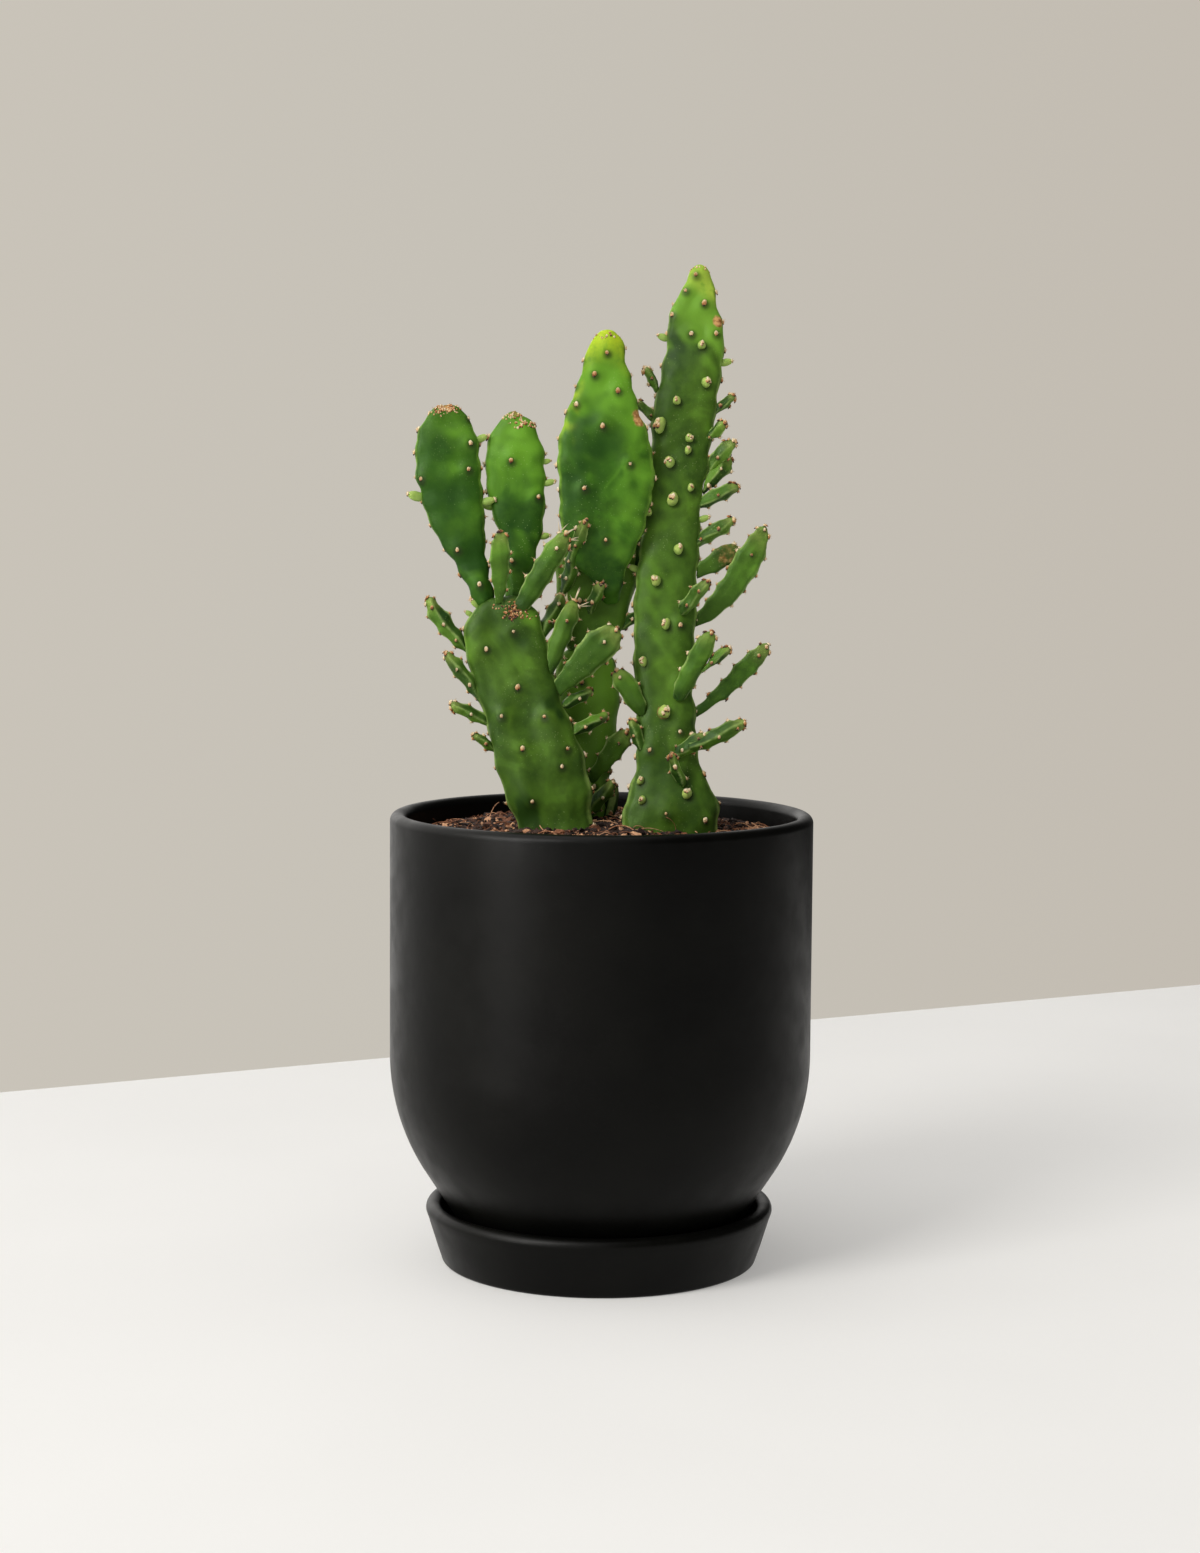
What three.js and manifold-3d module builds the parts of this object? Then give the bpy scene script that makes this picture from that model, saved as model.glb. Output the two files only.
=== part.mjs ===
// A paddle cactus with three stems and many young shoots, in a round matte pot on a saucer.
// Millimetres, +Z up. The origin is the middle of the saucer's underside, and -Y is the front.
import * as THREE from "three";
import { mergeVertices } from "three/addons/utils/BufferGeometryUtils.js";
import Module from "manifold-3d";

const wasm = await Module();
wasm.setup();

// ---- Driving dimensions ----

const GAP = 0.3; // kept between any two pieces that touch

const POT = {
  radius: 65, // outside of the straight wall
  height: 134.4, // foot to rim
  wall: 5,
  floor: 6,
  bellyHeight: 59.7, // where the straight wall starts to curve in
  bellyRadius: 66, // of that curve
  taper: 33.5, // degrees from upright, of the cone under the curve
  footEdge: 2.5, // rounding between cone and foot
  drainRadius: 7,
};

const SAUCER = {
  height: 18.9,
  wall: 4.9,
  floor: 5,
  flare: 0.31, // outward lean of the wall, mm per mm of height
  clearance: 2, // between its lip and the pot's cone
  footEdge: 1.6,
};

const SOIL = {
  crownDrop: 1.8, // rim down to the top of the mound
  wallDrop: 8, // rim down to the soil at the wall
  moundPower: 2.2, // how flat the middle of the mound is
};

const SHOOT_ROOT = 2.6; // how deep a shoot starts inside the pad it grows from
const LATHE_STEPS = 40;

// ---- Colours ----

const finish = (color, roughness) => new THREE.MeshStandardMaterial({ color, roughness, metalness: 0 });
const CERAMIC = finish(0x1c1c1a, 0.55);
const SOIL_MIX = finish(0x3a2419, 0.95);
const OLD_GREEN = finish(0x41662b, 0.5);
const PADDLE_GREEN = finish(0x3f8a24, 0.45);
const SHOOT_GREEN = finish(0x4d8a33, 0.5);

// ---- Solids ----

function toSolid(geometry) {
  const bare = geometry.clone();
  bare.deleteAttribute("normal");
  bare.deleteAttribute("uv");
  const merged = mergeVertices(bare, 1e-4);
  return new wasm.Manifold(
    new wasm.Mesh({
      numProp: 3,
      vertProperties: new Float32Array(merged.attributes.position.array),
      triVerts: new Uint32Array(merged.index.array),
    }),
  );
}

function toMesh(solid, name, material) {
  const { vertProperties, triVerts, numProp } = solid.getMesh();
  const count = vertProperties.length / numProp;
  const positions = new Float32Array(count * 3);
  for (let i = 0; i < count; i++) {
    positions.set(vertProperties.subarray(i * numProp, i * numProp + 3), i * 3);
  }
  const geometry = new THREE.BufferGeometry();
  geometry.setAttribute("position", new THREE.BufferAttribute(positions, 3));
  geometry.setIndex(new THREE.BufferAttribute(new Uint32Array(triVerts), 1));
  geometry.computeVertexNormals();
  const mesh = new THREE.Mesh(geometry, material);
  mesh.name = name;
  return mesh;
}

// The biggest body of a solid, without the crumbs that a cut can leave.
function wholeBody(solid) {
  const bodies = solid.decompose().sort((a, b) => b.volume() - a.volume());
  return bodies[0];
}

// Points of an arc in the half plane (radius, height), angles in degrees from the +radius direction.
function arc(centreR, centreZ, radius, from, to, steps) {
  return Array.from({ length: steps + 1 }, (_, i) => {
    const a = THREE.MathUtils.degToRad(from + ((to - from) * i) / steps);
    return new THREE.Vector2(centreR + radius * Math.cos(a), centreZ + radius * Math.sin(a));
  });
}

// A body of revolution about Z from a profile that starts and ends on the axis, or closes on itself.
function turned(profile) {
  return new THREE.LatheGeometry(profile, LATHE_STEPS).rotateX(Math.PI / 2);
}

// ---- Pot: its outside, and every surface parallel to it ----

const taper = THREE.MathUtils.degToRad(POT.taper);

// Radius at height z above the foot of the surface that lies `inset` inside the pot's outside.
function potRadius(z, inset) {
  const centreR = POT.radius - POT.bellyRadius;
  const r = POT.bellyRadius - inset;
  if (z >= POT.bellyHeight) return POT.radius - inset;
  const arcEnd = POT.bellyHeight - r * Math.sin(taper);
  if (z >= arcEnd) return centreR + Math.sqrt(r * r - (z - POT.bellyHeight) ** 2);
  return centreR + r * Math.cos(taper) - (arcEnd - z) * Math.tan(taper);
}

// The curved stretch of that surface, from the cone up to the straight wall.
function belly(inset) {
  return arc(POT.radius - POT.bellyRadius, POT.bellyHeight, POT.bellyRadius - inset, -POT.taper, 0, 6);
}

function potBody() {
  const lip = POT.wall / 2;
  const foot = potRadius(0, 0);
  const profile = [
    new THREE.Vector2(POT.drainRadius, 0),
    new THREE.Vector2(foot - POT.footEdge, 0),
    new THREE.Vector2(foot - POT.footEdge * 0.25, POT.footEdge * 0.3),
    new THREE.Vector2(potRadius(POT.footEdge, 0), POT.footEdge),
    ...belly(0),
    ...arc(POT.radius - lip, POT.height - lip, lip, 0, 180, 6),
    ...belly(POT.wall).reverse(),
    new THREE.Vector2(potRadius(POT.floor, POT.wall), POT.floor),
    new THREE.Vector2(POT.drainRadius, POT.floor),
    new THREE.Vector2(POT.drainRadius, 0),
  ];
  return toSolid(turned(profile));
}

// ---- Saucer: its lip clears the cone of the pot that stands in it ----

const potLift = SAUCER.floor + GAP; // height of the pot's foot
const saucerLipInner = potRadius(SAUCER.height - potLift, 0) + SAUCER.clearance;
const saucerInner = (z) => saucerLipInner - SAUCER.flare * (SAUCER.height - z);
const saucerOuter = (z) => saucerInner(z) + SAUCER.wall;

function saucerBody() {
  const lip = SAUCER.wall / 2;
  const lipZ = SAUCER.height - lip;
  const profile = [
    new THREE.Vector2(0, 0),
    new THREE.Vector2(saucerOuter(0) - SAUCER.footEdge, 0),
    new THREE.Vector2(saucerOuter(0) - SAUCER.footEdge * 0.2, SAUCER.footEdge * 0.4),
    new THREE.Vector2(saucerOuter(SAUCER.footEdge), SAUCER.footEdge),
    ...arc(saucerInner(lipZ) + lip, lipZ, lip, 0, 180, 6),
    new THREE.Vector2(saucerInner(SAUCER.floor + 1), SAUCER.floor + 1),
    new THREE.Vector2(saucerInner(SAUCER.floor) - 1, SAUCER.floor),
    new THREE.Vector2(0, SAUCER.floor),
  ];
  return toSolid(turned(profile));
}

// ---- Soil: fills the pot, with a mounded top ----

function soilBody() {
  const inset = POT.wall + GAP;
  const bottom = POT.floor + GAP;
  const edge = POT.radius - inset;
  const mound = (r) =>
    POT.height - SOIL.crownDrop - (SOIL.wallDrop - SOIL.crownDrop) * (r / edge) ** SOIL.moundPower;
  const profile = [
    new THREE.Vector2(0, bottom),
    new THREE.Vector2(potRadius(bottom, inset), bottom),
    ...belly(inset),
    ...[1, 0.8, 0.6, 0.4, 0.2, 0].map((share) => new THREE.Vector2(edge * share, mound(edge * share))),
  ];
  return toSolid(turned(profile));
}

// ---- Cladodes: flat stem segments lofted along a midrib ----

const MIDRIB = "catmullrom";
const FRONT = new THREE.Vector3(0, -1, 0);
const UP = new THREE.Vector3(0, 0, 1);

// A segment from stations [x, y, z, half width, half thickness], root first, in the plant's frame.
// `face` is the way its flat side looks, and past `roundFrom` of its length the tip rounds off.
function cladode(stations, { face = FRONT, roundFrom = 0.86, sides = 12 } = {}) {
  const rib = new THREE.CatmullRomCurve3(
    stations.map(([x, y, z]) => new THREE.Vector3(x, y, z)),
    false,
    MIDRIB,
  );
  const girth = new THREE.CatmullRomCurve3(
    stations.map(([, , , width, thickness]) => new THREE.Vector3(width, thickness, 0)),
    false,
    MIDRIB,
  );

  // Centre, width direction, flat normal and half sizes at a share of the midrib.
  function section(t) {
    const along = rib.getTangent(t);
    const across = along.clone().cross(face);
    if (across.length() < 0.25) across.copy(along).cross(UP);
    across.normalize();
    const out = across.clone().cross(along).normalize();
    const { x: width, y: thickness } = girth.getPoint(t);
    const turn = Math.max(0, (t - roundFrom) / (1 - roundFrom));
    const cap = Math.sqrt(Math.max(0, 1 - turn * turn));
    return { centre: rib.getPoint(t), along, across, out, width: width * cap, thickness: thickness * cap };
  }

  // The point on the skin at side -1..1 across the width, on the front (1) or back (-1) face.
  function skin(t, side, facing) {
    const s = section(t);
    const bulge = s.thickness * Math.sqrt(Math.max(0, 1 - side * side)) * facing;
    return s.centre.clone().addScaledVector(s.across, side * s.width).addScaledVector(s.out, bulge);
  }

  // The share of the midrib that lies at height z.
  function shareAt(z) {
    let low = 0;
    let high = 1;
    for (let i = 0; i < 24; i++) {
      const middle = (low + high) / 2;
      if (rib.getPoint(middle).z < z) low = middle;
      else high = middle;
    }
    return low;
  }

  // The closed skin, grown outwards by `grow`.
  function solid(grow = 0) {
    const straight = Math.ceil((stations.length - 1) * roundFrom);
    const tipRings = 4;
    const shares = Array.from({ length: straight + 1 }, (_, i) => (roundFrom * i) / straight);
    for (let i = 1; i < tipRings; i++) {
      shares.push(roundFrom + (1 - roundFrom) * Math.sin((Math.PI / 2) * (i / tipRings)));
    }
    const root = section(0);
    const tip = section(1);
    const points = [root.centre.clone().addScaledVector(root.along, -grow)];
    for (const share of shares) {
      const s = section(share);
      const lift = share === 0 ? -grow : 0;
      for (let k = 0; k < sides; k++) {
        const a = (2 * Math.PI * k) / sides;
        points.push(
          s.centre
            .clone()
            .addScaledVector(s.across, (s.width + grow) * Math.cos(a))
            .addScaledVector(s.out, (s.thickness + grow) * Math.sin(a))
            .addScaledVector(s.along, lift),
        );
      }
    }
    points.push(tip.centre.clone().addScaledVector(tip.along, grow));
    const faces = [];
    const at = (ring, k) => 1 + ring * sides + (k % sides);
    const last = shares.length - 1;
    for (let k = 0; k < sides; k++) {
      faces.push(0, at(0, k), at(0, k + 1));
      for (let ring = 0; ring < last; ring++) {
        faces.push(at(ring, k), at(ring + 1, k), at(ring, k + 1));
        faces.push(at(ring, k + 1), at(ring + 1, k), at(ring + 1, k + 1));
      }
      faces.push(at(last, k), points.length - 1, at(last, k + 1));
    }
    const geometry = new THREE.BufferGeometry().setFromPoints(points);
    geometry.setIndex(faces);
    return toSolid(geometry);
  }

  return { section, skin, shareAt, solid };
}

const ShootForm = {
  // Share of the length, then half width as a share of the widest, and thickness as a share of width.
  FINGER: { steps: [[0, 0.7], [0.3, 0.9], [0.7, 1], [1, 0.8]], flatness: 0.78, roundFrom: 0.72 },
  PADDLE: { steps: [[0, 0.42], [0.25, 0.62], [0.55, 0.92], [0.8, 1], [1, 0.86]], flatness: 0.5, roundFrom: 0.7 },
  LEAFY: { steps: [[0, 0.6], [0.35, 1], [0.7, 0.8], [1, 0.4]], flatness: 0.6, roundFrom: 0.85 },
};

// A young shoot on `parent`, at height z, side -1..1 across it, on its front (1) or back (-1).
// `reach` runs from its foot to its tip, and `sag` bows it down, or up where negative.
function shoot(parent, { z, side, facing = 1, reach, width, form = "FINGER", sag = 0 }) {
  const { steps, flatness, roundFrom } = ShootForm[form];
  const foot = parent.skin(parent.shareAt(z), side, facing);
  const way = new THREE.Vector3(...reach);
  const start = foot.clone().addScaledVector(way.clone().normalize(), -SHOOT_ROOT);
  const end = foot.clone().add(way);
  const stations = steps.map(([share, size]) => {
    const p = start.clone().lerp(end, share);
    const half = (width / 2) * size;
    return [p.x, p.y, p.z - sag * 4 * share * (1 - share), half, half * flatness];
  });
  return cladode(stations, { roundFrom, sides: 8 });
}

// ---- The plant, in its own frame: z = 0 is the crown of the soil ----

const pads = {
  left_trunk: cladode([
    [-12.5, -19.5, -18, 8, 5.6],
    [-13.7, -19.5, -1.5, 10.8, 6.6],
    [-17.2, -19, 12, 13.1, 6.9],
    [-19.5, -18.3, 24, 12.9, 6.8],
    [-24.5, -17.4, 37, 11.6, 6.4],
    [-28.3, -16.5, 50, 12.1, 6.3],
    [-29.9, -16, 59, 11.6, 5.9],
    [-30.8, -15.5, 68.5, 10.8, 5.4],
  ]),
  right_stem: cladode(
    [
      [20, -20, -18, 12, 6.2],
      [20.5, -20, -1.5, 14.6, 7],
      [20.8, -19, 6, 14.3, 6.8],
      [20, -17.8, 12, 11.6, 6.2],
      [19.9, -16.6, 19, 9.2, 5.6],
      [19.4, -14.8, 29, 8.5, 5.2],
      [18.5, -12.3, 44, 9, 5.2],
      [18.7, -9.8, 59, 9.1, 5],
      [19.2, -7.4, 73, 9.1, 4.9],
      [20, -5, 87, 8.5, 4.8],
      [21.5, -2.8, 101, 8.6, 4.8],
      [23.3, -0.5, 114, 9, 4.8],
      [24.6, 1.6, 127, 9.2, 4.7],
      [26, 3.5, 139, 8.9, 4.6],
      [27.4, 5.2, 150, 8.3, 4.2],
      [28, 6.6, 159, 5.6, 3.4],
      [28.9, 7.8, 168.4, 3.4, 2.5],
    ],
    { roundFrom: 0.95 },
  ),
  centre_lower_pad: cladode([
    [-6, -1, -18, 5.6, 4.6],
    [-6.2, 0, 0, 7.2, 5.6],
    [-5.8, 0, 14, 7.8, 5.8],
    [-4.6, -0.5, 27, 9, 5.6],
    [-4.2, -1, 37, 9.4, 5.4],
    [-4.8, -1.8, 45, 9, 5],
    [-4.6, -2.2, 53, 8.4, 4.6],
  ]),
  centre_middle_pad: cladode([
    [-4.4, -2, 47, 4.6, 3.4],
    [-3.8, -2.6, 54, 8, 4.2],
    [-3.2, -3, 64, 10.4, 4.6],
    [-2.4, -3, 74, 11.9, 4.6],
    [-2.2, -3, 82, 12, 4.2],
    [-2.2, -3, 88, 11, 3.6],
  ]),
  centre_paddle: cladode(
    [
      [1.8, -4, 66.4, 2.8, 2.6],
      [1.6, -9.2, 72.6, 4, 3],
      [-0.3, -11.2, 81.4, 9.4, 3.6],
      [-0.4, -11.2, 90, 12.2, 4.4],
      [0.3, -10.8, 101, 13.7, 4.8],
      [0.6, -10.3, 110, 14.1, 4.7],
      [-0.3, -9.9, 118.5, 12, 4.3],
      [-0.1, -9.6, 127, 9.5, 3.8],
      [0, -9.4, 137, 6.3, 3.2],
      [0.7, -9.2, 147, 4.4, 2.6],
    ],
    { roundFrom: 0.93 },
  ),
  left_outer_paddle: cladode(
    [
      [-35.2, -15, 65, 2.8, 2.4],
      [-37.2, -14, 72, 3.2, 2.7],
      [-40.4, -13, 81.5, 5.3, 3.4],
      [-43.8, -12.2, 90, 7.8, 4],
      [-46.3, -11.2, 99, 9.1, 4.4],
      [-47.1, -10.2, 108.5, 9.6, 4.3],
      [-47.5, -9.4, 117, 9, 3.8],
      [-47.7, -8.7, 125, 7.8, 3.2],
    ],
    { roundFrom: 0.8 },
  ),
  left_inner_paddle: cladode(
    [
      [-26.8, -13, 64, 2.4, 2.3],
      [-26.2, -12, 71, 3, 2.6],
      [-25.2, -11, 79.5, 4.7, 3.2],
      [-25, -10, 88.5, 6.3, 3.8],
      [-25.9, -9.2, 97, 8.1, 4.2],
      [-26.4, -8.4, 104.5, 8.9, 4.2],
      [-27, -7.8, 112, 8.6, 3.8],
      [-27.6, -7.1, 123.3, 6.8, 3],
    ],
    { roundFrom: 0.84 },
  ),
};

// Young shoots, by the segment that each grows from.
const SHOOTS = {
  left_trunk: [
    { z: 66.6, side: -0.05, reach: [0.2, -3, 20.8], width: 6.2, form: "PADDLE" },
    { z: 65.5, side: 0.78, facing: 1, reach: [13.2, -4, 21.5], width: 7.2 },
    { z: 55.4, side: -1, reach: [-11.2, -0.5, 13.6], width: 5.8, form: "PADDLE", sag: 1.4 },
    { z: 43, side: -1, reach: [-9.2, -1, 11.2], width: 4.8 },
    { z: 35.4, side: -1, reach: [-10, -2, 4.6], width: 4.2 },
    { z: 27.4, side: -1, reach: [-6, -2, 3.8], width: 3 },
    { z: 37, side: 0.98, facing: 1, reach: [18, -4.5, 18.6], width: 10.4, form: "PADDLE" },
    { z: 45, side: 0.99, facing: 1, reach: [7, 0.8, 18.8], width: 6.4 },
    { z: 56.4, side: 0.98, facing: -1, reach: [5.6, 4.6, 10], width: 5 },
    { z: 31.4, side: 1, reach: [7.4, 3, 3.8], width: 3.8 },
    { z: 24.6, side: 1, reach: [8.4, 4, 4.4], width: 4.2 },
    { z: 48, side: 0.1, facing: -1, reach: [-3, 9, 9], width: 5 },
    { z: 22, side: -0.2, facing: -1, reach: [-5, 8, 6], width: 4.2 },
  ],
  centre_lower_pad: [
    { z: 13, side: 0.35, facing: 1, reach: [10.8, -4, 15], width: 6.6, form: "PADDLE" },
    { z: 3, side: 0.4, facing: 1, reach: [6.4, -4, 8.6], width: 4.8 },
    { z: -1, side: 1, reach: [2.6, 1, 10.6], width: 4.8 },
    { z: 27, side: -0.3, facing: -1, reach: [-4, 10, 12], width: 5.6, form: "PADDLE" },
  ],
  centre_middle_pad: [
    { z: 71, side: -0.72, facing: 1, reach: [5.4, -10.5, 19.5], width: 5.2 },
    { z: 79.6, side: 1, reach: [6.6, -3.4, 9.4], width: 5.2, form: "LEAFY" },
    { z: 60.6, side: 1, reach: [9, -4, 5], width: 3.8 },
    { z: 65, side: -0.06, facing: 1, reach: [2.8, -5, 7], width: 3.8 },
    { z: 66, side: 0.1, facing: -1, reach: [3.6, 9, 13], width: 5 },
  ],
  right_stem: [
    { z: 130.4, side: -1, reach: [-3.4, -2, 5.2], width: 3 },
    { z: 121.6, side: -1, reach: [-4.6, 2, 4.4], width: 3.2 },
    { z: 36, side: -0.86, facing: 1, reach: [-7.4, -0.5, 10.4], width: 6.8 },
    { z: 24.4, side: -0.9, reach: [-3.2, 0.5, 6.6], width: 4 },
    { z: 125.8, side: 1, reach: [5, 0, 4], width: 2.9 },
    { z: 118, side: 0.94, reach: [4.2, -3, 2.8], width: 3.8 },
    { z: 108.4, side: 1, reach: [7.4, -2, 7.8], width: 5, form: "PADDLE" },
    { z: 102.4, side: 1, reach: [7.8, 2, 9.2], width: 6, form: "PADDLE" },
    { z: 98, side: 1, reach: [10.4, -1, 4.6], width: 4.4 },
    { z: 86, side: 1, reach: [10.4, -1, 6.2], width: 5 },
    { z: 76, side: 1, reach: [12.4, 0, 7.6], width: 6.8, form: "PADDLE" },
    { z: 62.8, side: 1, reach: [20.8, 1, 27.4], width: 8.8, form: "PADDLE", sag: 5.6 },
    { z: 64.4, side: 0.6, facing: 1, reach: [6.6, -5, 8.4], width: 4.6 },
    { z: 39.4, side: 0.55, facing: 1, reach: [9, -4, 18], width: 6.6 },
    { z: 33.4, side: 1, reach: [22, 0, 20.6], width: 6.2, form: "PADDLE", sag: 1.6 },
    { z: 21.4, side: 0.4, facing: 1, reach: [6.8, -3.4, 5.2], width: 4.4 },
    { z: 12.6, side: 0.3, facing: 1, reach: [-2.6, -3, 7.6], width: 3.4 },
    { z: 50, side: 0.2, facing: -1, reach: [2, 9, 11], width: 5 },
    { z: 84, side: -0.3, facing: -1, reach: [-2.6, 8, 9], width: 4.6 },
    { z: 118, side: 0.1, facing: -1, reach: [2, 7, 7], width: 4 },
    { z: 24, side: 0.3, facing: -1, reach: [3.6, 8.6, 8], width: 5 },
  ],
};

const grown = Object.entries(pads).map(([name, body]) => ({
  name,
  body,
  material: name.includes("paddle") ? PADDLE_GREEN : OLD_GREEN,
}));
for (const [parent, list] of Object.entries(SHOOTS)) {
  list.forEach((spec, i) => {
    const name = `${parent}_shoot_${String(i + 1).padStart(2, "0")}`;
    grown.push({ name, body: shoot(pads[parent], spec), material: SHOOT_GREEN });
  });
}

// Two shoots that bud from older shoots instead of from a pad.
const byName = Object.fromEntries(grown.map((piece) => [piece.name, piece.body]));
const SECOND_SHOOTS = [
  { name: "right_stem_shoot_14_bud", parent: "right_stem_shoot_14", z: 50.4, side: 1, reach: [6, 0, 4.2], width: 3.6 },
  { name: "right_stem_shoot_16_bud", parent: "right_stem_shoot_16", z: 26.4, side: 0.7, reach: [13, 0, 6.2], width: 5.2 },
];
for (const { name, parent, ...spec } of SECOND_SHOOTS) {
  grown.push({ name, body: shoot(byName[parent], spec), material: SHOOT_GREEN });
}

// ---- Assembly ----

const part = new THREE.Group();
part.add(toMesh(saucerBody(), "saucer", CERAMIC));

const potGroup = new THREE.Group();
potGroup.position.z = potLift;
potGroup.add(toMesh(potBody(), "pot", CERAMIC));
part.add(potGroup);

const crown = POT.height - SOIL.crownDrop;
const plant = new THREE.Group();
plant.position.z = crown;
potGroup.add(plant);

const touching = (a, b) =>
  [0, 1, 2].every((i) => a.min[i] < b.max[i] && b.min[i] < a.max[i]);

// Each piece is cut clear of the older ones that it grows from or presses against, and the soil of all.
let soil = soilBody().translate([0, 0, -crown]);
const older = [];
for (const { name, body, material } of grown) {
  let solid = body.solid();
  for (const other of older) {
    if (touching(solid.boundingBox(), other.boundingBox())) solid = solid.subtract(other);
  }
  plant.add(toMesh(wholeBody(solid), name, material));
  const envelope = body.solid(GAP);
  older.push(envelope);
  soil = soil.subtract(envelope);
}
plant.add(toMesh(wholeBody(soil), "soil", SOIL_MIX));

export default part;
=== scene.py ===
"""A potted paddle cactus: three stems with many young shoots, in a matte black pot on a saucer.

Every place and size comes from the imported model. Lengths are in metres, +Z is up and -Y is the front.
"""

import logging
import math
from dataclasses import dataclass, field
from enum import Enum
from typing import Optional, Sequence

import bmesh
import bpy
import numpy as np
from mathutils import Matrix, Vector
from mathutils.bvhtree import BVHTree


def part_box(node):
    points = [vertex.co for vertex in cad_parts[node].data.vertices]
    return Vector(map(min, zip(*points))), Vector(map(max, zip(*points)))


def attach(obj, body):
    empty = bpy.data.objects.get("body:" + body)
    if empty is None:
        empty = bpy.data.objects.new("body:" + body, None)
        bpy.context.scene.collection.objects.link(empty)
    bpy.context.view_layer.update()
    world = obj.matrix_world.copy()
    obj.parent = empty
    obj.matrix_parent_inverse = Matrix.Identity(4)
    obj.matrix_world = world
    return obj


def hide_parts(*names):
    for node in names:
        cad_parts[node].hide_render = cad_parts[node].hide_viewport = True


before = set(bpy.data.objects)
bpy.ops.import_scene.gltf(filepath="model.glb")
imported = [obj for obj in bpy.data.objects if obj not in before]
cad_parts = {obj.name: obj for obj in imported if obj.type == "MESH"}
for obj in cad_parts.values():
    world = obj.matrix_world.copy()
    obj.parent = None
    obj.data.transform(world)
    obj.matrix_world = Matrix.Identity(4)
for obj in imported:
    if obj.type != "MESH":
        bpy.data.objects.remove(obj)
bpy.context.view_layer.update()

LOG = logging.getLogger("paddle_cactus")
MM = 0.001
BODY = "root"

Shader = bpy.types.Node
Socket = bpy.types.NodeSocket
Material = bpy.types.Material
Piece = bpy.types.Object
Rng = np.random.Generator
Colour = tuple[float, float, float, float]
Spot = tuple[Vector, Vector]


class Slot(Enum):
    """The record's material slots."""

    CERAMIC = "matte_ceramic"
    MIX = "potting_mix"
    TRUNK = "trunk_skin"
    PADDLE = "paddle_skin"
    SHOOT = "shoot_skin"
    WOOL = "areole_wool"


class Face(Enum):
    """The side of a flat segment that something grows on, as the way a ray travels to meet it."""

    FRONT = (0, 1, 0)
    BACK = (0, -1, 0)
    LEFT = (1, 0, 0)
    RIGHT = (-1, 0, 0)


def tone(red: int, green: int, blue: int) -> Colour:
    """Turns an 8-bit display colour into a linear one.

    Args:
        red: Red, 0 to 255.
        green: Green, 0 to 255.
        blue: Blue, 0 to 255.

    Returns:
        Linear red, green, blue and an alpha of 1.
    """

    def linear(value: int) -> float:
        """One channel, linear."""
        share = value / 255
        return share / 12.92 if share <= 0.04045 else ((share + 0.055) / 1.055) ** 2.4

    return (linear(red), linear(green), linear(blue), 1.0)


def blend(first: Colour, second: Colour, share: float) -> Colour:
    """A colour part of the way from one to another."""
    return tuple(a + (b - a) * share for a, b in zip(first, second))


# ---- Shaders -------------------------------------------------------------------------------------


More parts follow.
